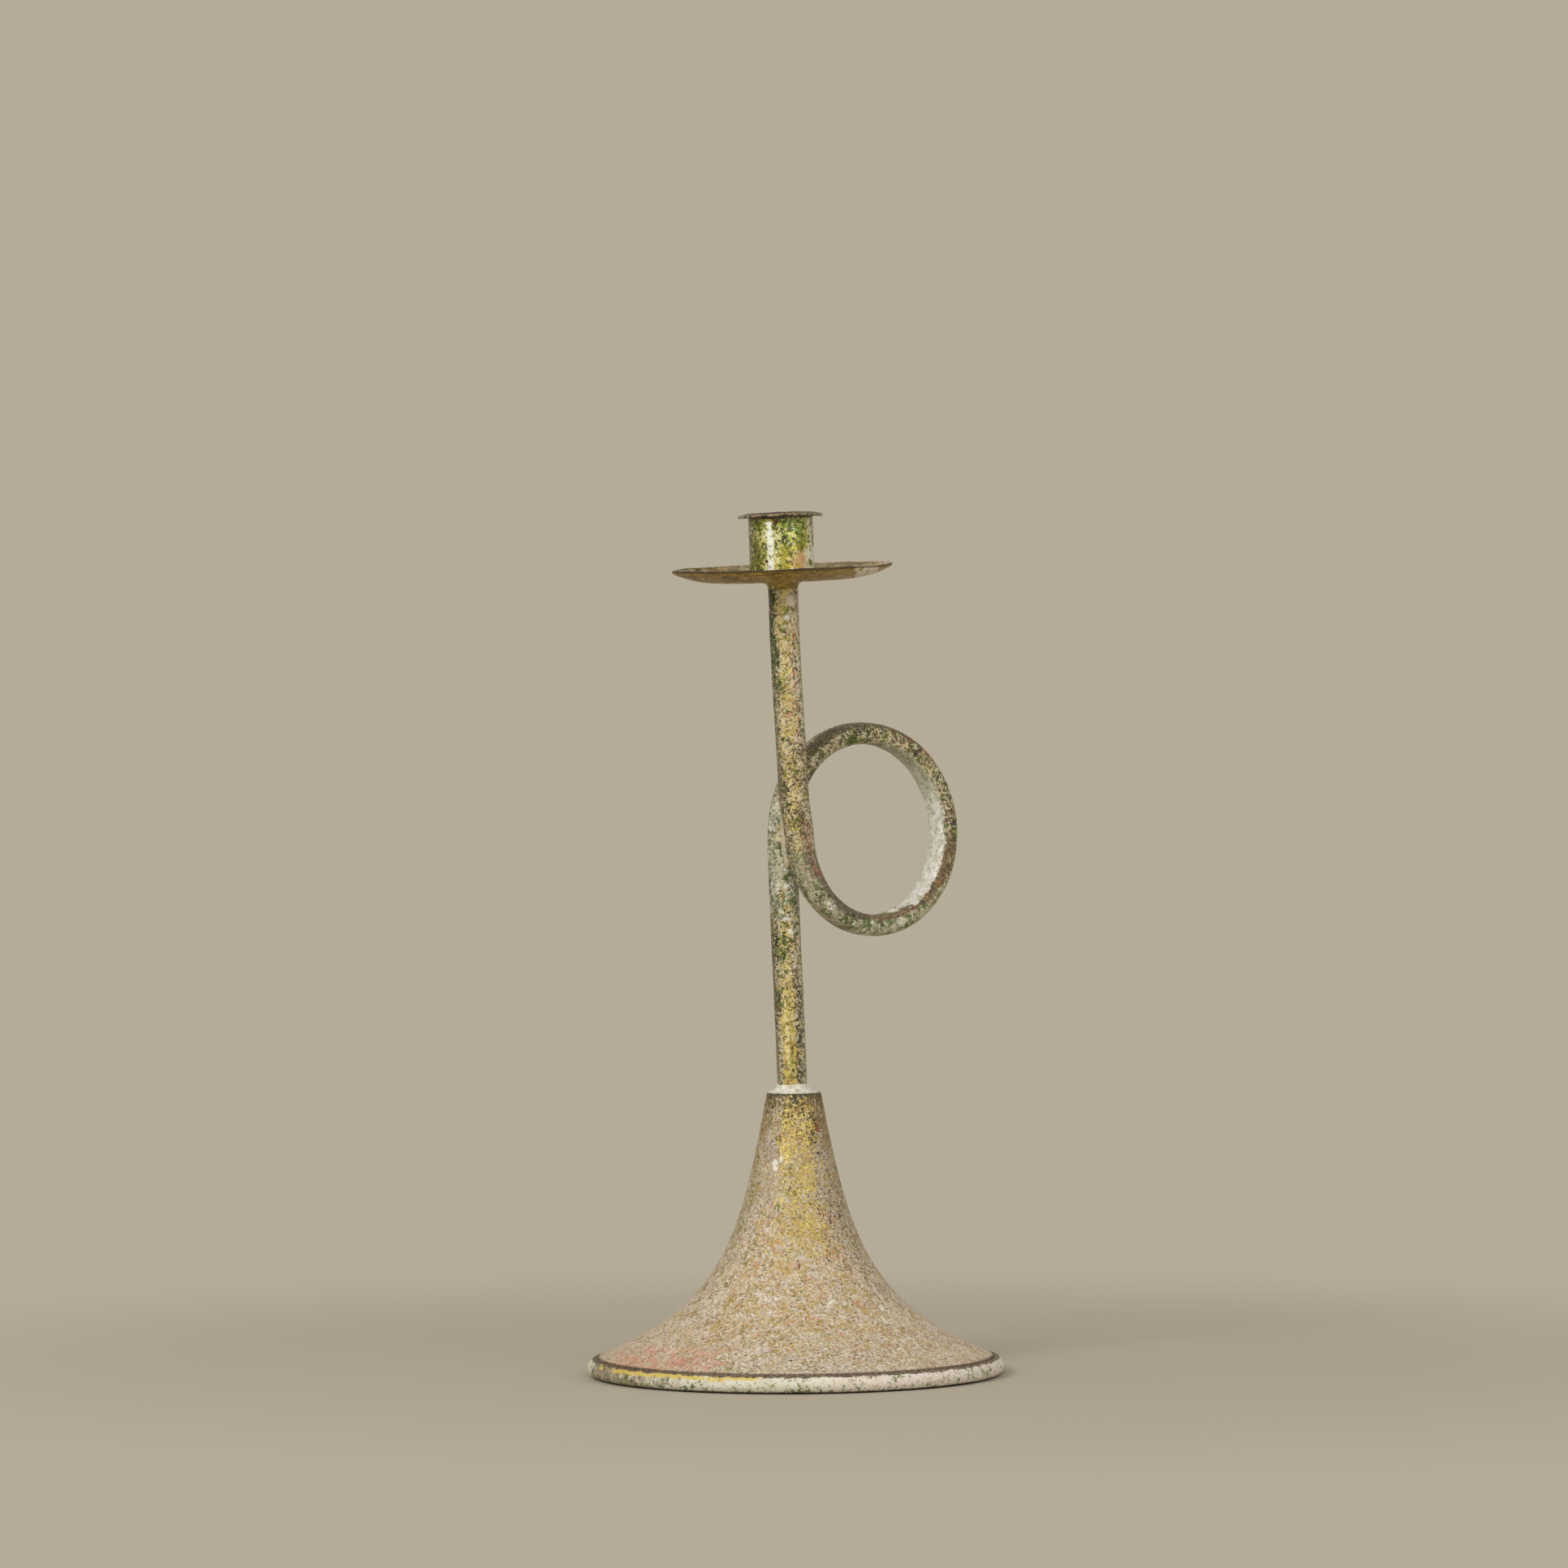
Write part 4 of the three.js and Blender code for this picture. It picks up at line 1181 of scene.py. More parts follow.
@dataclass(frozen=True)
class PanFinish:
    """Ochre and olive paint brushed on the pan and its collar, with a thin dark lip."""

    base: Vector
    axis: Vector
    lip_radius: float
    lip_height: float

    def make(self) -> bpy.types.Material:
        """Builds the material.

        Returns:
            The finished material.
        """
        g = Graph.finish("brushed_pan_paint")
        local = g.vector("SUBTRACT", g.place, tuple(self.base))
        height = g.along(local, self.axis)
        x, y = g.along(local, (1, 0, 0)), g.along(local, (0, 1, 0))
        side, near = g.along(local, VIEW_RIGHT), g.along(local, VIEW_NEAR)
        radius = g.hypot(x, y)
        up = g.rise(g.along(g.facing, self.axis), 0.0, 0.3)
        brushed = g.stretched(g.place, (0.35, 0.35, 1.8))
        broad = g.noise(0.010, 3.0, 6.0)
        strokes = g.noise(0.0014, 4.0, 16.0, 0.8, brushed)

        under = g.mix(g.rise(strokes, 0.36, 0.64), paint(94, 70, 8), paint(166, 130, 30))
        # Painted light: the underside turns paler towards the right, for light thrown up from below.
        painted_light_right = g.rise(side, 0.002, 0.030) * 0.45
        under = g.mix(g.rise(broad, 0.46, 0.62) * 0.3 + painted_light_right, under, paint(178, 150, 88))
        over = g.mix(g.rise(strokes, 0.40, 0.60), paint(116, 100, 70), paint(182, 165, 130))
        over = g.mix(g.rise(side, 0.0, 0.03) * 0.5, over, paint(206, 192, 160))
        coat = Coat(g, g.mix(up, under, over))
        for fleck in (
            Fleck(paint(164, 128, 48), 0.0014, 0.60, 26.0, 0.3, 0.7, 0.3),
            Fleck(paint(104, 96, 30), 0.0012, 0.61, 36.0, 0.3, 0.7),
            Fleck(paint(64, 50, 22), 0.0010, 0.62, 46.0, 0.3, 0.8),
            Fleck(paint(198, 168, 96), 0.0010, 0.65, 56.0, 0.3, 0.8, 0.3),
        ):
            coat.scatter(fleck, 0.0, brushed)
        collar = g.rise(height, 0.0002, -0.0004) * g.rise(radius, 0.0110, 0.0100)
        coat.wash(collar * 0.5, g.mix(g.rise(broad, 0.4, 0.6), paint(176, 146, 64), paint(140, 130, 56)))
        for fleck in (
            Fleck(MOSS, 0.0013, 0.60, 58.0),
            Fleck(BRIGHT_GOLD, 0.0011, 0.63, 59.0, 0.3, 0.9, 0.5),
        ):
            coat.sprinkle(fleck, collar, g.rise(side, 0.002, -0.006) * 0.04)
        chip = g.between(side, 0.0295, 0.0375, 0.0012) * g.rise(near, 0.0, 0.01) * (1 - up)
        chip = chip * g.cloud(0.0025, 3.0, 66.0, 0.40, 0.46)
        coat.wash(chip * 0.9, paint(222, 216, 196))
        lip = g.rise(radius, self.lip_radius - 0.0007, self.lip_radius - 0.0003)
        lip = lip * g.rise(height, self.lip_height - 0.0012, self.lip_height - 0.0006)
        worn = g.mix(g.cloud(0.0016, 3.0, 76.0, 0.60, 0.72), paint(60, 48, 30), paint(140, 122, 84))
        coat.wash(lip * 0.9, worn)
        relief = strokes + g.noise(0.0009, 2.0, 86.0) * 0.5 + coat.relief
        shine = g.rise(strokes, 0.4, 0.6) * -0.12 + 0.52 - coat.metal * 0.2
        return g.surface(coat.colour, shine, coat.metal, relief, 0.00018)


@dataclass(frozen=True)
class CupFinish:
    """Glossy green-gold leaf with pale flakes, rust spots and a worn flange, with a painted highlight,
    painted reflections near the right edge and painted shade under the flange.
    """

    base: Vector
    axis: Vector
    height: float
    wall_radius: float

    def make(self) -> bpy.types.Material:
        """Builds the material.

        Returns:
            The finished material.
        """
        g = Graph.finish("green_gilt_cup")
        local = g.vector("SUBTRACT", g.place, tuple(self.base))
        height = g.along(local, self.axis)
        right = g.along(g.facing, VIEW_RIGHT)
        near = g.rise(g.along(g.facing, VIEW_NEAR), -0.1, 0.2)
        patchy = g.noise(0.0028, 3.0, 17.0)
        ragged = (patchy - 0.5) * 0.5

        fine = g.noise(0.0018, 4.0, 7.0, 0.6)
        coat = Coat(g, g.mix(g.rise(fine, 0.36, 0.64), paint(104, 110, 28), paint(194, 187, 78)))
        coat.metal = 0.6
        gold = g.rise(height, 0.012, 0.006) * g.between(right + ragged, -0.25, 0.40, 0.15)
        coat.wash(gold * 0.7, paint(222, 198, 84), 0.6)
        green = g.rise(height, 0.012, 0.018) * g.between(right + ragged, 0.05, 0.60, 0.15)
        coat.wash(green * g.rise(fine, 0.30, 0.52) * 0.75, paint(112, 150, 32), 0.5)
        shade = g.rise(right + ragged, -0.50, -0.85) + g.rise(right + ragged, 0.72, 0.95)
        coat.wash(shade * 0.55, paint(88, 88, 30), 0.5)
        pale = g.between(right + ragged * 0.6, -0.48, -0.05, 0.12) * g.rise(height, 0.024, 0.020)
        coat.wash(pale * g.rise(fine, 0.44, 0.54) * 0.7, paint(214, 218, 134), 0.3)
        for fleck, lift in (
            (
                Fleck(paint(230, 221, 140), 0.0015, 0.61, 27.0, 0.4, 0.85, 0.2, 0.04),
                pale * 0.06 + green * 0.05,
            ),
            (
                Fleck(paint(52, 70, 12), 0.0015, 0.60, 37.0, 0.4, 0.9, 0.3, 0.04),
                shade * 0.06 + green * 0.075,
            ),
            (Fleck(paint(44, 50, 18), 0.0010, 0.645, 47.0, 0.3, 0.95, 0.0, 0.03), shade * 0.04),
            (Fleck(paint(250, 248, 226), 0.0010, 0.66, 57.0, 0.3, 0.95, 0.2, 0.03), pale * 0.06),
        ):
            coat.scatter(fleck, lift)
        # Painted highlight: a narrow bright band left of the middle, where the key lamp reflects.
        gleam = g.between(right + ragged * 0.2, -0.40, -0.28, 0.06) * near
        gleam = gleam * g.between(height, 0.0015, 0.0225, 0.001)
        coat.wash(gleam * g.rise(fine, 0.36, 0.50) * 0.85, paint(252, 252, 240))
        # Painted reflection: pale glints close to the right edge.
        glint = g.between(right + ragged * 0.3, 0.82, 0.94, 0.05) * near
        glint = glint * g.between(height, 0.008, 0.0225, 0.002)
        coat.wash(glint * g.rise(fine, 0.42, 0.54) * 0.7, paint(236, 232, 200))
        peach = g.between(right + ragged, 0.42, 0.70, 0.1) * near * g.between(height, 0.001, 0.009, 0.003)
        coat.wash(peach * g.rise(patchy, 0.36, 0.48) * 0.8, paint(212, 166, 118))
        chalk = g.rise(right + ragged, 0.66, 0.80) * near * g.between(height, 0.003, 0.011, 0.002)
        coat.wash(chalk * g.rise(patchy, 0.38, 0.48) * 0.8, paint(226, 222, 198))
        for side, level, size in ((-0.14, 0.0225, 0.0011), (0.38, 0.0158, 0.0006), (-0.47, 0.0065, 0.0007)):
            coat.wash(self.rust(g, side, level, size), paint(86, 34, 34))

        # Dark worn paint on the flange; it reaches down onto the wall just under the flange as painted
        # shade.
        rim = g.rise(height, self.height - 0.0024, self.height - 0.0018)
        worn = g.mix(g.cloud(0.0010, 4.0, 67.0, 0.42, 0.62), paint(54, 42, 28), paint(124, 106, 74))
        coat.wash(rim, worn, 0.2)
        reach = g.apart(local, (0, 0, 0))
        spread = g.math("SQRT", reach * reach - height * height)
        edge = rim * g.rise(spread, self.wall_radius + 0.0033, self.wall_radius + 0.0038)
        coat.wash(edge * g.cloud(0.0012, 3.0, 69.0, 0.44, 0.56) * 0.55, paint(182, 162, 122))
        relief = patchy + g.noise(0.0010, 2.0, 77.0) * 0.5 + coat.relief
        shine = g.rise(patchy, 0.4, 0.6) * -0.10 + 0.30 + rim * 0.2
        return g.surface(coat.colour, shine, coat.metal, relief, 0.00016, 0.25)

    def rust(self, g: Graph, side: float, level: float, size: float) -> Value:
        """One small rust spot on the cup's wall.

        Args:
            g: The finish.
            side: From -1 at the wall's left to 1 at its right, as the photograph sees it.
            level: Height above the cup's base.
            size: The spot's radius.

        Returns:
            A share that is 1 on the spot.
        """
        flat = VIEW_RIGHT * side + VIEW_NEAR * math.sqrt(1 - side * side)
        centre = self.base + self.axis * level + flat * self.wall_radius
        ragged = (g.noise(0.0012, 2.0, 87.0) - 0.5) * size * 2
        return g.rise(g.apart(g.place, centre) + ragged, size * 1.15, size * 0.8)


@dataclass(frozen=True)
class SteelFinish:
    """Plain dull steel with a fine grain and a little tarnish."""

    def make(self) -> bpy.types.Material:
        """Builds the material.

        Returns:
            The finished material.
        """
        g = Graph.finish("dull_steel")
        cloud = g.noise(0.004, 4.0, 5.0)
        coat = Coat(g, g.mix(g.rise(cloud, 0.42, 0.62), paint(128, 122, 112), paint(164, 158, 146)))
        coat.scatter(Fleck(RUST, 0.002, 0.66, 15.0, 0.3, 0.6, 0.0, 0.04, 3.0))
        grain = g.noise(0.0008, 2.0, 25.0, vector=g.stretched(g.place, (1, 1, 6)))
        return g.surface(coat.colour, g.rise(cloud, 0.4, 0.6) * 0.2 + 0.35, 0.85, grain, 0.00008)


def install(piece: bpy.types.Object, node: str, slot: Slot, finish: bpy.types.Material) -> None:
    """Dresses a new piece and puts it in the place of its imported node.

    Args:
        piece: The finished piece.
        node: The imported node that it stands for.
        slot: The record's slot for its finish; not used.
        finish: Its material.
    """
    piece.data.materials.clear()
    piece.data.materials.append(finish)
    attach(piece, BODY)
    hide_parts(node)
    LOG.info("%s stands for %s, %d faces", piece.name, node, len(piece.data.polygons))


@dataclass
class Bell:
    """The spun bell with its rolled rim, the disc that closes its neck and the weld on it."""

    mouth_radius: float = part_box("bell_shell")[1].x
    height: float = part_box("bell_shell")[1].z
    cap_top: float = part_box("neck_cap")[1].z
    neck_radius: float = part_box("neck_cap")[1].x
    sheet: float = 0.0010
    neck_handle: Point = (0.0110, -0.0584)
    mouth_handle: Point = (-0.0494, 0.0208)
    flare_steps: int = 60
    bead_radius: float = 0.00365
    bead_flat: float = 0.0016
    bead_start: float = 82
    curl_end: float = -215
    curl_root: float = 112
    crease_start: float = 101
    crease_end: float = 95
    crease_depth: float = 0.00045
    crease_inset: float = 0.00084
    sheet_dents: Dents = Dents(0.030, 0.0005)
    dents_begin: tuple[float, float] = (0.004, 0.020)
    dents_end: float = 0.100
    cap_taper: float = 0.00055
    cap_edge: float = 0.0005
    cap_dents: Dents = Dents(0.003, 0.00025)
    spigot_gap: float = 0.0003
    spigot_depth: float = 0.0030
    foot_offset: float = -0.00056
    weld_curve: tuple[Point, ...] = (
        (0.0104, 0.0002),
        (0.0088, 0.0006),
        (0.0068, 0.0008),
        (0.0061, 0.0036),
    )
    weld_bore: float = 0.0056
    weld_root: float = 0.0003
    weld_lumps: Dents = Dents(0.0022, 0.0006)
    sides: int = 192
    small_sides: int = 96

    @property
    def bead_centre(self) -> Point:
        """The middle of the rolled rim, as radius and height.

        Returns:
            The point.
        """
        return (
            self.mouth_radius - self.bead_radius,
            math.sqrt(self.bead_radius**2 - (self.bead_flat / 2) ** 2),
        )

    def outer_line(self) -> list[Point]:
        """The flare's outside from the neck down to the crease.

        Returns:
            The points.
        """
        centre = self.bead_centre
        neck = (self.neck_radius, self.height)
        mouth = (centre[0] - self.crease_inset, centre[1] + self.bead_radius + self.crease_depth)
        handles = [
            (neck[0] + self.neck_handle[0], neck[1] + self.neck_handle[1]),
            (mouth[0] + self.mouth_handle[0], mouth[1] + self.mouth_handle[1]),
        ]
        return bezier([neck, *handles, mouth], self.flare_steps)

    def shell(self) -> bpy.types.Object:
        """Spins the sheet: down the flare, over the crease, round the bead and back inside.

        Returns:
            The bell.
        """
        outer = self.outer_line()
        centre = self.bead_centre
        flat = math.degrees(math.asin(self.bead_flat / 2 / self.bead_radius))
        inner = offset(outer, self.sheet)[::-1]
        inner[-1] = (inner[-1][0], self.height)
        profile = [
            *outer,
            *arc(centre, self.bead_radius - self.crease_depth, self.crease_start, self.crease_end, 3),
            *arc(centre, self.bead_radius, self.bead_start, flat - 90, 22),
            *arc(centre, self.bead_radius, -90 - flat, self.curl_end, 14),
            *arc(centre, self.bead_radius - self.sheet, self.curl_end, self.curl_root, 30),
            *inner[1:],
        ]
        piece = Bench.turn("spun_bell", profile, self.sides)

        def dented(p: Vector) -> float:
            """The share of the dents at a place, none on the rim's foot and at the neck's end."""
            return smooth(p.z, *self.dents_begin) * smooth(p.z, self.height, self.dents_end)

        Bench.dent(piece, self.sheet_dents, dented)
        return piece

    def cap(self) -> bpy.types.Object:
        """Turns the disc that closes the neck, with an eased edge.

        Returns:
            The disc.
        """
        top_radius = self.neck_radius - self.cap_taper
        spigot = self.neck_radius - self.sheet - self.spigot_gap
        edge = (top_radius - self.cap_edge, self.cap_top - self.cap_edge)
        profile = [
            (0.0, self.cap_top),
            (top_radius * 0.5, self.cap_top),
            *arc(edge, self.cap_edge, 90, 10, 6),
            (self.neck_radius, self.height),
            (spigot, self.height),
            (spigot, self.height - self.spigot_depth),
            (0.0, self.height - self.spigot_depth),
        ]
        piece = Bench.turn("neck_disc", profile, self.small_sides)
        Bench.dent(piece, self.cap_dents, lambda p: smooth(p.z, self.height + self.sheet, self.cap_top))
        return piece

    def weld(self) -> bpy.types.Object:
        """Turns the hollow-sided weld bead round the tube's foot and makes it lumpy.

        Returns:
            The bead.
        """
        bore, root = self.weld_bore, self.weld_root
        out, top = self.weld_curve[0][0], self.weld_curve[-1][1]
        profile = [(bore, -root), (out - 2 * root, -root), *bezier(self.weld_curve, 14), (bore, top + root)]
        piece = Bench.turn("foot_bead", profile, self.small_sides)
        Bench.dent(piece, self.weld_lumps, outwards(bore, bore + 2 * self.weld_lumps.depth))
        Bench.settle(piece, Matrix.Translation((self.foot_offset, 0, self.cap_top)), 60)
        return piece

    def build(self) -> None:
        """Makes and dresses the bell's pieces."""
        paint_work = BellFinish(self.bead_centre, tuple(self.outer_line()), self.cap_top).make()
        for piece, node in ((self.shell(), "bell_shell"), (self.cap(), "neck_cap")):
            Bench.settle(piece, Matrix.Identity(4))
            install(piece, node, Slot.BELL, paint_work)
        install(self.weld(), "foot_weld", Slot.WELD, WeldFinish("foot_weld_paint", 0.0).make())


@dataclass(frozen=True)
class Station:
    """One place on the tube's route.

    Attributes:
        point: The middle of the tube.
        tangent: The way that the tube runs, from the pan down to the bell.
        in_loop: Whether it lies in the loop.
    """

    point: Vector
    tangent: Vector
    in_loop: bool

    @property
    def heading(self) -> float:
        """The turn about Y from straight down to the way that the tube runs."""
        return math.atan2(self.tangent.x, -self.tangent.z)


@dataclass
class Stem:
    """The bent tube with its loop, and the filler where its two runs cross."""

    cap_top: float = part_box("neck_cap")[1].z
    tube_radius: float = 0.0060
    wall: float = 0.0010
    crossing_gap: float = 0.0004
    half_thickness: float = 0.0044
    squareness: float = 2.6
    flattening_run: float = 0.035
    flattening_lead: float = 0.012
    foot_offset: float = -0.00056
    lower_lean: float = math.radians(2.52)
    upper_lean: float = math.radians(3.36)
    head_lean: float = math.radians(2.1)
    loop_rise: float = 0.1060
    loop_half_width: float = 0.0371
    loop_half_height: float = 0.0388
    loop_drift: float = 0.0007
    loop_start: float = math.radians(5.5)
    loop_end: float = math.radians(337)
    flat_share: float = 0.07
    upper_shift: float = -0.00165
    upper_blend: float = 0.0158
    lower_blend: float = 0.0154
    top_rise: float = 0.10085
    socket: float = 0.0150
    end_below_cap: float = 0.0100
    spacing: float = 0.0022
    end_step: float = 1e-4
    tangent_step: float = 0.002
    length_samples: int = 40
    tube_dents: Dents = Dents(0.012, 0.00025)
    filler_growth: tuple[float, float, float] = (1.15, 1.9, 1.08)
    filler_lumps: Dents = Dents(0.006, 0.0006)
    sides: int = 32

    @property
    def loop_height(self) -> float:
        """The height of the loop's centre."""
        return self.cap_top + self.loop_rise

    @property
    def half_width(self) -> float:
        """Half of the flattened tube's width, along the loop's axis."""
        return self.half_thickness + (self.tube_radius - self.half_thickness) * math.pi / 2

    @property
    def pitch(self) -> float:
        """How far the front run stands before the back run."""
        return self.tube_radius + self.half_width + self.crossing_gap

    def lower(self, height: float) -> Vector:
        """The lower run's middle at a height."""
        return Vector((self.foot_offset - (height - self.cap_top) * math.tan(self.lower_lean), 0, height))

    def upper(self, height: float) -> Vector:
        """The upper run's middle at a height."""
        side = self.lower(self.loop_height).x + self.upper_shift
        return Vector((side - (height - self.loop_height) * math.tan(self.upper_lean), -self.pitch, height))

    def loop_centre(self) -> Vector:
        """The middle of the loop."""
        side = self.lower(self.loop_height).x + self.loop_half_width
        return Vector((side, -self.pitch / 2, self.loop_height))

    def loop_point(self, share: float) -> Vector:
        """A point on the loop's centre line, from 0 at its start to 1 at its end.

        Args:
            share: How far along the loop the point is.

        Returns:
            The point.
        """
        angle = blend(self.loop_start, self.loop_end, share)
        crossed = smooth(share, self.flat_share, 1 - self.flat_share)
        centre = self.loop_centre()
        return Vector((
            centre.x - self.loop_half_width * math.cos(angle) + self.loop_drift * crossed,
            -self.pitch * (1 - crossed),
            centre.z - self.loop_half_height * math.sin(angle),
        ))

    @staticmethod
    def down(lean: float) -> Vector:
        """The way down at a lean from upright."""
        return Vector((math.sin(lean), 0, -math.cos(lean)))

    @property
    def top(self) -> Vector:
        """The middle of the tube's upper end."""
        rise = self.socket * math.cos(self.head_lean)
        return self.upper(self.loop_height + self.top_rise - rise) - self.down(self.head_lean) * self.socket

    def head_place(self) -> Matrix:
        """The frame of what the tube carries: at its upper end, along its axis."""
        return Matrix.Translation(self.top) @ Matrix.Rotation(-self.head_lean, 4, "Y")

    def route(self) -> list[Station]:
        """The places along the tube, from the pan down into the bell.

        Returns:
            The stations, about one spacing apart.
        """
        socket_end = self.top + self.down(self.head_lean) * self.socket
        upper_end = self.upper(self.loop_height + self.upper_blend)
        lower_start = self.lower(self.loop_height - self.lower_blend)
        end = self.lower(self.cap_top - self.end_below_cap)
        into = (self.loop_point(self.end_step) - self.loop_point(0)).normalized()
        out = (self.loop_point(1) - self.loop_point(1 - self.end_step)).normalized()

        def straight(a: Vector, b: Vector) -> Callable[[float], Vector]:
            """A straight run from one point to another."""
            return lambda share: a.lerp(b, share)

        def bend(a: Vector, leave: Vector, b: Vector, arrive: Vector) -> Callable[[float], Vector]:
            """A cubic that leaves and arrives along given ways.

            Args:
                a: Where it starts.
                leave: The way that it leaves.
                b: Where it ends.
                arrive: The way that it arrives.

            Returns:
                A place for each share from 0 to 1.
            """
            reach = (b - a).length / 3
            first, second = a + leave * reach, b - arrive * reach
            return lambda t: (
                a * (1 - t) ** 3
                + first * (3 * t * (1 - t) ** 2)
                + second * (3 * t * t * (1 - t))
                + b * t**3
            )

        runs = [
            (straight(self.top, socket_end), False),
            (bend(socket_end, self.down(self.head_lean), upper_end, self.down(self.upper_lean)), False),
            (bend(upper_end, self.down(self.upper_lean), self.loop_point(0), into), False),
            (self.loop_point, True),
            (bend(self.loop_point(1), out, lower_start, self.down(self.lower_lean)), False),
            (straight(lower_start, end), False),
        ]
        stations = []
        for place, in_loop in runs:
            marks = [place(i / self.length_samples) for i in range(self.length_samples + 1)]
            length = sum((after - before).length for before, after in zip(marks, marks[1:]))
            count = max(round(length / self.spacing), 3)
            for i in range(1 if stations else 0, count + 1):
                share = i / count
                before, after = max(share - self.tangent_step, 0.0), min(share + self.tangent_step, 1.0)
                tangent = (place(after) - place(before)).normalized()
                stations.append(Station(place(share), tangent, in_loop))
        return stations

    def flatness(self, stations: Sequence[Station]) -> list[float]:
        """How far the bend has flattened the tube at each station, from 0 to 1.

        Args:
            stations: The route.

        Returns:
            One share for each station.
        """
        lengths = [0.0]
        for before, after in zip(stations, stations[1:]):
            lengths.append(lengths[-1] + (after.point - before.point).length)
        looped = [length for length, station in zip(lengths, stations) if station.in_loop]
        start, end = looped[0] - self.flattening_lead, looped[-1] + self.flattening_lead
        run = self.flattening_run
        return [smooth(length - start, 0, run) * smooth(end - length, 0, run) for length in lengths]

    def tube(self) -> bpy.types.Object:
        """Draws a round ring along the route, flattens it in the loop and gives it a wall.

        Returns:
            The bent tube.
        """
        stations = self.route()
        flat = self.flatness(stations)
        Bench.clear()
        bpy.ops.mesh.primitive_circle_add(vertices=self.sides, radius=self.tube_radius)
        piece = bpy.context.object
        piece.name = piece.data.name = "bent_tube"
        bpy.ops.object.mode_set(mode="EDIT")
        bpy.ops.mesh.select_all(action="SELECT")
        bpy.ops.transform.translate(value=stations[0].point)
        for before, after in zip(stations, stations[1:]):
            step = after.point - before.point
            bpy.ops.mesh.extrude_edges_move(TRANSFORM_OT_translate={"value": step})
            turn = (after.heading - before.heading + math.pi) % (2 * math.pi) - math.pi
            bpy.ops.transform.rotate(value=turn, orient_axis="Y", center_override=after.point)
        bpy.ops.object.mode_set(mode="OBJECT")
        self.press(piece, stations, flat)
        Bench.edit_all(piece)
        bpy.ops.mesh.normals_make_consistent(inside=False)
        bpy.ops.object.mode_set(mode="OBJECT")
        wall = piece.modifiers.new("wall", "SOLIDIFY")
        wall.thickness = self.wall
        wall.offset = -1
        bpy.ops.object.modifier_apply(modifier=wall.name)
        return piece

    def press(self, piece: bpy.types.Object, stations: Sequence[Station], flat: Sequence[float]) -> None:
        """Presses each ring to the section that the bend gives it, and marks where its faces look.

        Args:
            piece: The round tube, with its rings in order.
            stations: The route.
            flat: How flattened each station is.
        """
        names = ("inward", "front", "in_loop")
        inward, front, in_loop = (piece.data.attributes.new(n, "FLOAT", "POINT") for n in names)
        for corner in piece.data.vertices:
            ring = corner.index // self.sides
            station, share = stations[ring], flat[ring]
            axial = (Vector((0, 1, 0)) - station.tangent * station.tangent.y).normalized()
            across = station.tangent.cross(axial)
            arm = corner.co - station.point
            out, side = arm.dot(across), arm.dot(axial)
            reach = math.hypot(out, side)
            power = 2 / blend(2, self.squareness, share)
            thick = blend(self.tube_radius, self.half_thickness, share)
            wide = blend(self.tube_radius, self.half_width, share)
            out, side = out / reach, side / reach
            arm = across * math.copysign(abs(out) ** power * thick, out)
            arm += axial * math.copysign(abs(side) ** power * wide, side)
            corner.co = station.point + arm
            inward.data[corner.index].value = out
            front.data[corner.index].value = -side
            in_loop.data[corner.index].value = share

    def chips(self) -> tuple[tuple[Vector, Vector, float, Colour], ...]:
        """The chips and touches on the tube, each by its two ends, width and colour.

        Returns:
            The marks.
        """
        found = []
        for run, height, length, side, width, colour in (
            (self.upper, 0.3133, 0.0030, 0.50, 0.0030, PALE),
            (self.upper, 0.3068, 0.0006, 0.20, 0.0014, WHITE),
            (self.upper, 0.2674, 0.0024, 0.02, 0.0013, paint(206, 142, 118)),
            (self.lower, 0.1799, 0.0006, 0.30, 0.0014, WHITE),
        ):
            out = (VIEW_RIGHT * side + VIEW_NEAR * math.sqrt(1 - side * side)) * self.tube_radius
            ends = [run(height + part * length / 2) + out for part in (-1, 1)]
            found.append((ends[0], ends[1], width, colour))
        return tuple(found)

    def filler(self) -> bpy.types.Object:
        """Shapes the smooth filler in the valley between the two runs.

        Returns:
            The filler.
        """
        low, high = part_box("crossing_braze")
        centre, half = (low + high) / 2, (high - low) / 2
        Bench.clear()
        bpy.ops.mesh.primitive_uv_sphere_add(segments=48, ring_count=32, radius=1.0)
        piece = bpy.context.object
        piece.name = piece.data.name = "crossing_filler"
        # It grows into the tube, so that the lumps leave no gap, and its outer side stays where it is.
        size = [part * growth for part, growth in zip(half, self.filler_growth)]
        centre.x += size[0] - half.x
        Bench.settle(piece, Matrix.Translation(centre) @ Matrix.Diagonal((*size, 1)), 180)
        Bench.dent(piece, self.filler_lumps)
        return piece

    def build(self) -> None:
        """Makes and dresses the tube and its filler."""
        finish = StemFinish(self.loop_centre(), self.top.z, self.cap_top, self.chips()).make()
        tube = self.tube()
        Bench.dent(tube, self.tube_dents)
        Bench.settle(tube, Matrix.Identity(4))
        install(tube, "stem_tube", Slot.STEM, finish)
        install(self.filler(), "crossing_braze", Slot.WELD, WeldFinish("crossing_paint", 1.0).make())


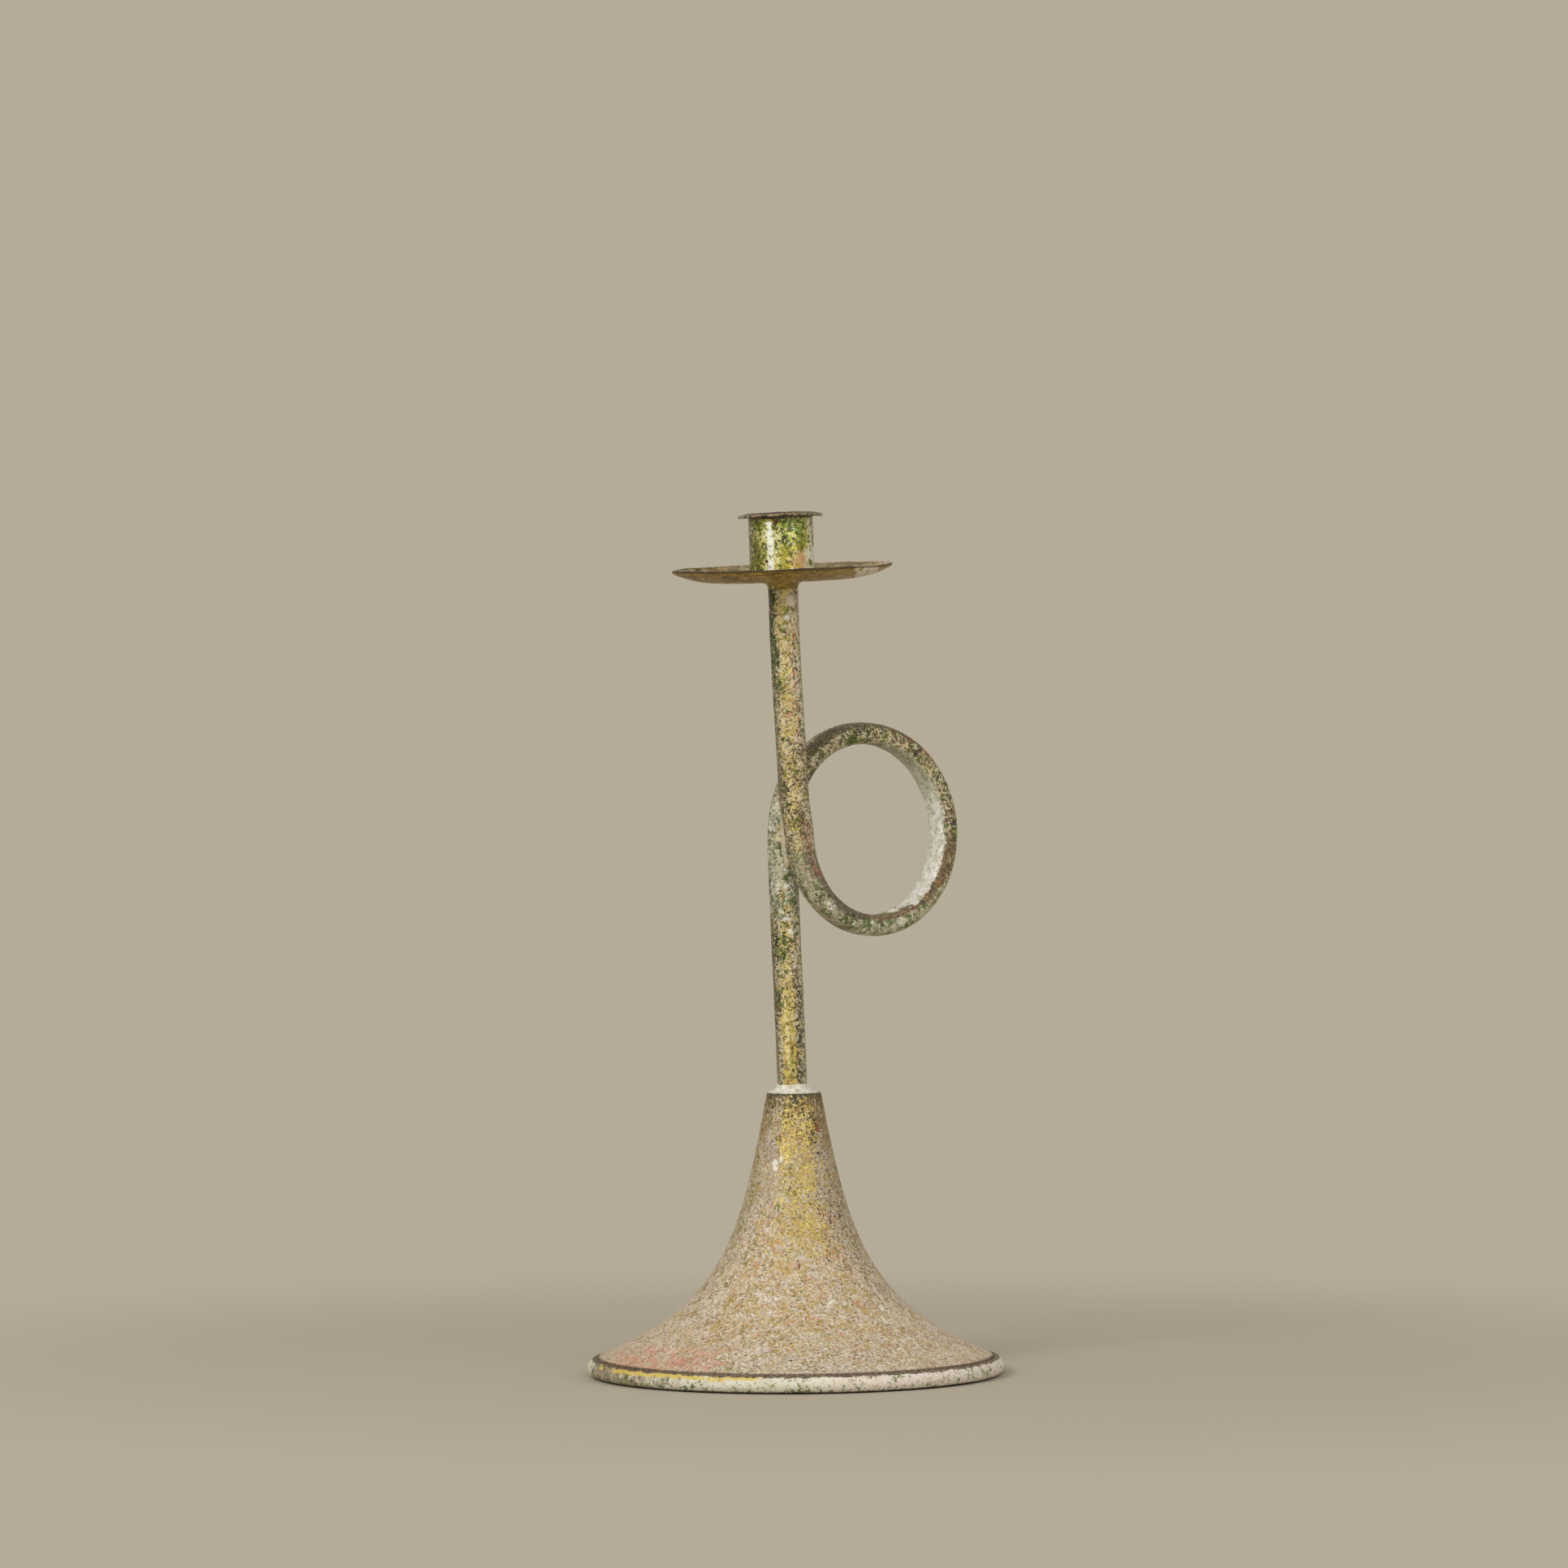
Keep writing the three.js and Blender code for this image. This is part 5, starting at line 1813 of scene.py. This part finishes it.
@dataclass
class Head:
    """What the tube carries: collar, drip pan, candle cup and the screw that clamps them."""

    place: Matrix
    seat_gap: float = 0.0003
    collar_curve: tuple[Point, ...] = (
        (0.00605, -0.0028),
        (0.0062, -0.00075),
        (0.0073, -0.0004),
        (0.0095, 0.0003),
    )
    collar_bore: float = 0.0057
    collar_lumps: Dents = Dents(0.003, 0.0003)
    pan_radius: float = 0.0444
    pan_floor: float = 0.0240
    pan_depth: float = 0.0057
    pan_sheet: float = 0.0010
    pan_thinned: float = 0.7
    pan_leaves_floor: float = 0.45
    pan_meets_lip: float = 0.7
    pan_side_rise: float = 0.42
    pan_waves: tuple[Dents, ...] = (Dents(0.028, 0.0010, "Z"), Dents(0.006, 0.0003, "Z"))
    lip_height: float = 0.0013
    lip_inset: float = 0.0007
    lip_handle: Point = (0.0001, 0.0008)
    hole_radius: float = 0.0023
    bore: float = 0.0120
    cup_wall: float = 0.0010
    cup_floor: float = 0.0012
    cup_height: float = 0.0261
    cup_corner: float = 0.0012
    bore_corner: float = 0.0008
    flange: float = 0.0041
    flange_thickness: float = 0.0010
    flange_fillet: float = 0.0005
    flange_root: float = 0.0008
    flange_droop: float = 0.0010
    flange_waves: tuple[Dents, ...] = (Dents(0.009, 0.0007, "Z"), Dents(0.0022, 0.0003, "Z"))
    washer_radius: float = 0.0052
    washer_thickness: float = 0.0008
    washer_ease: float = 0.00015
    screw_radius: float = 0.0020
    screw_head: float = 0.0039
    screw_rise: float = 0.0019
    screw_edge: float = 0.0009
    screw_reach: float = 0.0130
    thread_turns: int = 14
    thread_depth: float = 0.0003
    thread_crest: float = 0.0004
    thread_span: tuple[float, float] = (-0.0122, -0.0012)
    slot_width: float = 0.0010
    slot_depth: float = 0.0009

    @property
    def cup_base(self) -> float:
        """The cup's base above the tube's end."""
        return self.seat_gap * 2 + self.pan_sheet

    def collar(self) -> bpy.types.Object:
        """Turns the flare between the tube and the pan.

        Returns:
            The collar.
        """
        profile = [
            (self.collar_bore, self.collar_curve[-1][1]),
            (self.collar_bore, self.collar_curve[0][1]),
            *bezier(self.collar_curve, 16),
        ]
        piece = Bench.turn("pan_flare", profile, 96)
        Bench.dent(piece, self.collar_lumps, outwards(self.collar_bore, self.collar_bore + 0.001))
        return piece

    def pan(self) -> bpy.types.Object:
        """Turns the shallow pan with its thin lip and makes the lip a little wavy.

        Returns:
            The pan.
        """
        start = (self.pan_radius - self.lip_inset, self.pan_depth - self.lip_height)
        leaves = blend(self.pan_floor, start[0], self.pan_leaves_floor)
        meets = blend(self.pan_floor, start[0], self.pan_meets_lip)
        handles = [(leaves, 0.0), (meets, start[1] * self.pan_side_rise)]
        side = bezier([(self.pan_floor, 0.0), *handles, start], 22)
        turned_up = (self.pan_radius - self.lip_handle[0], self.pan_depth - self.lip_handle[1])
        lip = bezier([start, turned_up, (self.pan_radius, self.pan_depth)], 6)
        under = [*side, *lip[1:]]
        over = offset(under, -self.pan_sheet * self.pan_thinned)[::-1]
        profile = [*under, *over, (self.hole_radius, self.pan_sheet), (self.hole_radius, 0.0)]
        piece = Bench.turn("drip_dish", profile, 160)
        for waves in self.pan_waves:
            Bench.dent(piece, waves, outwards(self.pan_floor, self.pan_radius))
        return piece

    def cup(self) -> bpy.types.Object:
        """Turns the pressed cup with its rounded foot and thin turned-out flange.

        Returns:
            The cup.
        """
        wall = self.bore + self.cup_wall
        edge = self.flange_thickness / 2
        under = self.cup_height - self.flange_thickness
        mouth = self.flange_thickness + self.cup_wall / 2
        corner = (self.bore - self.bore_corner, self.cup_floor + self.bore_corner)
        profile = [
            (self.hole_radius, 0.0),
            (wall * 0.6, 0.0),
            *arc((wall - self.cup_corner, self.cup_corner), self.cup_corner, -90, 0, 8),
            *[(wall, blend(self.cup_corner, under, i / 10)) for i in range(1, 10)],
            *arc((wall + self.flange_fillet, under - self.flange_fillet), self.flange_fillet, 180, 90, 5),
            (wall + self.flange * 0.5, under),
            *arc((wall + self.flange - edge, self.cup_height - edge), edge, -90, 90, 10),
            *arc((self.bore + mouth, self.cup_height - mouth), mouth, 90, 180, 8),
            (self.bore, self.cup_height * 0.5),
            *arc(corner, self.bore_corner, 0, -90, 5),
            (self.hole_radius, self.cup_floor),
        ]
        piece = Bench.turn("candle_socket_cup", profile, 128)
        edgewards = outwards(wall + self.flange_root, wall + self.flange)

        def drooped(p: Vector) -> float:
            """The share of the droop at a place: it hangs at the photograph's left and right."""
            return edgewards(p) * smooth(abs(p.dot(VIEW_RIGHT)), wall * 0.5, wall + self.flange)

        Bench.displace(piece, -self.flange_droop, 0.0, "Z", drooped)
        for waves in self.flange_waves:
            Bench.dent(piece, waves, edgewards)
        return piece

    def washer(self) -> bpy.types.Object:
        """Turns the washer with eased edges.

        Returns:
            The washer.
        """
        ease, top = self.washer_ease, self.washer_thickness
        out, hole = self.washer_radius, self.hole_radius
        profile = [
            (hole, 0.0),
            (out - ease, 0.0),
            (out, ease),
            (out, top - ease),
            (out - ease, top),
            (hole + ease, top),
            (hole, top - ease),
        ]
        return Bench.turn("cup_fixing_washer", profile, 64)

    def screw(self) -> bpy.types.Object:
        """Turns the screw and cuts its slot.

        Returns:
            The screw.
        """
        dome = [
            (self.screw_head * math.cos(a), blend(self.screw_edge, self.screw_rise, math.sin(a)))
            for a in (math.radians(90 * i / 10) for i in range(10))
        ]
        root = self.screw_radius - self.thread_depth
        thread = []
        for i in range(self.thread_turns):
            level = blend(*self.thread_span, i / self.thread_turns)
            thread += [(root, level), (self.screw_radius, level + self.thread_crest)]
        profile = [
            (0.0, -self.screw_reach),
            (root - self.thread_depth, -self.screw_reach),
            *thread,
            (self.screw_radius, 0.0),
            (self.screw_head, 0.0),
            *dome,
            (0.0, self.screw_rise),
        ]
        piece = Bench.turn("cup_fixing_screw", profile, 48)
        bpy.ops.mesh.primitive_cube_add(size=1.0, location=(0, 0, self.screw_rise))
        cutter = bpy.context.object
        cutter.scale = (self.screw_head * 3, self.slot_width, self.slot_depth * 2)
        Bench.pick(piece)
        cut = piece.modifiers.new("slot", "BOOLEAN")
        cut.operation = "DIFFERENCE"
        cut.object = cutter
        bpy.ops.object.modifier_apply(modifier=cut.name)
        bpy.data.objects.remove(cutter)
        return piece

    def build(self) -> None:
        """Makes and dresses the head's pieces, from the tube's end upwards."""
        axis = (self.place.to_3x3() @ Vector((0, 0, 1))).normalized()
        washer_rise = self.cup_base + self.cup_floor + self.seat_gap
        screw_rise = washer_rise + self.washer_thickness + self.seat_gap
        pan_place, cup_place, washer_place, screw_place = (
            self.place @ Matrix.Translation((0, 0, rise))
            for rise in (self.seat_gap, self.cup_base, washer_rise, screw_rise)
        )
        brushed = PanFinish(pan_place.translation, axis, self.pan_radius, self.pan_depth).make()
        gilt = CupFinish(cup_place.translation, axis, self.cup_height, self.bore + self.cup_wall).make()
        steel = SteelFinish().make()
        for piece, place, node, slot, finish in (
            (self.collar(), self.place, "pan_collar", Slot.PAN, brushed),
            (self.pan(), pan_place, "drip_pan", Slot.PAN, brushed),
            (self.cup(), cup_place, "candle_cup", Slot.CUP, gilt),
            (self.washer(), washer_place, "cup_washer", Slot.STEEL, steel),
            (self.screw(), screw_place, "cup_screw", Slot.STEEL, steel),
        ):
            Bench.settle(piece, place)
            install(piece, node, slot, finish)
        for node in ("rim_wire", "stem_plug"):
            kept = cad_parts[node]
            kept.data.materials.clear()
            kept.data.materials.append(steel)
            LOG.info("%s stays as packed", node)


@dataclass(frozen=True)
class Lamp:
    """One soft box that looks at the middle of the object.

    Attributes:
        name: The lamp's name.
        right: How far it is to the photograph's right.
        near: How far it is towards the camera.
        up: How high it hangs.
        size: Its side.
        power: Its power in watts.
        aim: The height that it looks at.
    """

    name: str
    right: float
    near: float
    up: float
    size: float
    power: float
    aim: float = 0.17

    def hang(self) -> None:
        """Puts the lamp in the scene."""
        data = bpy.data.lights.new(self.name, "AREA")
        data.size = self.size
        data.energy = self.power
        lamp = bpy.data.objects.new(self.name, data)
        bpy.context.scene.collection.objects.link(lamp)
        lamp.location = VIEW_RIGHT * self.right + VIEW_NEAR * self.near + Vector((0, 0, self.up))
        lamp.rotation_mode = "QUATERNION"
        lamp.rotation_quaternion = (Vector((0, 0, self.aim)) - lamp.location).to_track_quat("-Z", "Y")


@dataclass
class Studio:
    """Plain floor, soft lights and the photograph's camera."""

    backdrop: Colour = paint(181, 171, 153)
    floor_size: float = 12.0
    floor_drop: float = 0.0001
    floor_fade: tuple[float, float] = (0.22, 0.55)
    frame_pixels: float = 1932
    focal_pixels: float = 11132
    sensor: float = 36.0
    clip: tuple[float, float] = (0.1, 30.0)
    distance: float = 3.650
    eye_height: float = 0.352
    horizon_row: float = 622
    axis_column: float = 975.8
    roll: float = math.radians(0.372)
    sky: float = 0.62
    sky_tint: Colour = (1.0, 0.985, 0.96, 1.0)
    lamps: tuple[Lamp, ...] = (
        Lamp("key", -1.2, 1.7, 1.3, 0.9, 26.0),
        Lamp("fill", 1.3, 1.6, 0.7, 1.2, 9.0),
    )

    def floor(self) -> None:
        """Lays a plain floor that keeps the object's shadow and fades into the backdrop."""
        Bench.clear()
        bpy.ops.mesh.primitive_plane_add(size=self.floor_size, location=(0, 0, -self.floor_drop))
        floor = bpy.context.object
        floor.name = "floor"
        g = Graph.finish("floor_paper")
        far = g.rise(g.apart(g.place, (0, 0, 0)), *self.floor_fade)
        lit = g.value("ShaderNodeBsdfDiffuse", {}, {"Color": self.backdrop})
        seen = g.value("ShaderNodeEmission", {}, {"Color": self.backdrop, "Strength": 1.0})
        both = g.value("ShaderNodeMixShader", {}, {0: far, 1: lit, 2: seen})
        g.node("ShaderNodeOutputMaterial", {}, {"Surface": both})
        floor.data.materials.append(g.owner)
        floor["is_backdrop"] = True

    def world(self) -> None:
        """Sets an even sky that the camera, gloss and glass see as the backdrop."""
        bpy.context.scene.world = bpy.data.worlds.new("studio")
        g = Graph(bpy.context.scene.world)
        rays = g.node("ShaderNodeLightPath").outputs
        camera, glossy, through = (
            Value(g, rays[name]) for name in ("Is Camera Ray", "Is Glossy Ray", "Is Transmission Ray")
        )
        either = {"operation": "ADD", "use_clamp": True}
        shown = g.value("ShaderNodeMath", either, {0: camera + glossy, 1: through})
        light = g.value("ShaderNodeBackground", {}, {"Color": self.sky_tint, "Strength": self.sky})
        seen = g.value("ShaderNodeBackground", {}, {"Color": self.backdrop})
        both = g.value("ShaderNodeMixShader", {}, {0: shown, 1: light, 2: seen})
        g.node("ShaderNodeOutputWorld", {}, {"Surface": both})

    def camera(self) -> None:
        """Sets the camera where the photograph was taken from."""
        data = bpy.data.cameras.new("camera")
        data.sensor_width = self.sensor
        data.lens = self.focal_pixels / self.frame_pixels * self.sensor
        data.clip_start, data.clip_end = self.clip
        camera = bpy.data.objects.new("camera", data)
        bpy.context.scene.collection.objects.link(camera)
        middle = self.frame_pixels / 2
        pitch = math.atan((middle - self.horizon_row) / self.focal_pixels)
        yaw = math.atan((self.axis_column - middle) / self.focal_pixels)
        place = VIEW_NEAR * self.distance + Vector((0, 0, self.eye_height))
        turn = (
            Matrix.Rotation(VIEW_AZIMUTH + yaw, 4, "Z")
            @ Matrix.Rotation(math.pi / 2 - pitch, 4, "X")
            @ Matrix.Rotation(-self.roll, 4, "Z")
        )
        camera.matrix_world = Matrix.Translation(place) @ turn
        bpy.context.scene.camera = camera

    def build(self) -> None:
        """Makes the floor, the lights and the camera."""
        self.floor()
        self.world()
        for lamp in self.lamps:
            lamp.hang()
        self.camera()
        bpy.context.scene.view_settings.view_transform = "Standard"


def main() -> None:
    """Builds the sub-assemblies in order, then the studio."""
    logging.basicConfig(level=logging.INFO, format="%(message)s")
    Bench.clear()
    Bell().build()
    stem = Stem()
    stem.build()
    Head(stem.head_place()).build()
    Studio().build()
    boxes = {"cad": CAD_BOX, "visual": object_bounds()}
    {name: [list(corner) for corner in box] for name, box in boxes.items()}


if __name__ == "__main__":
    main()
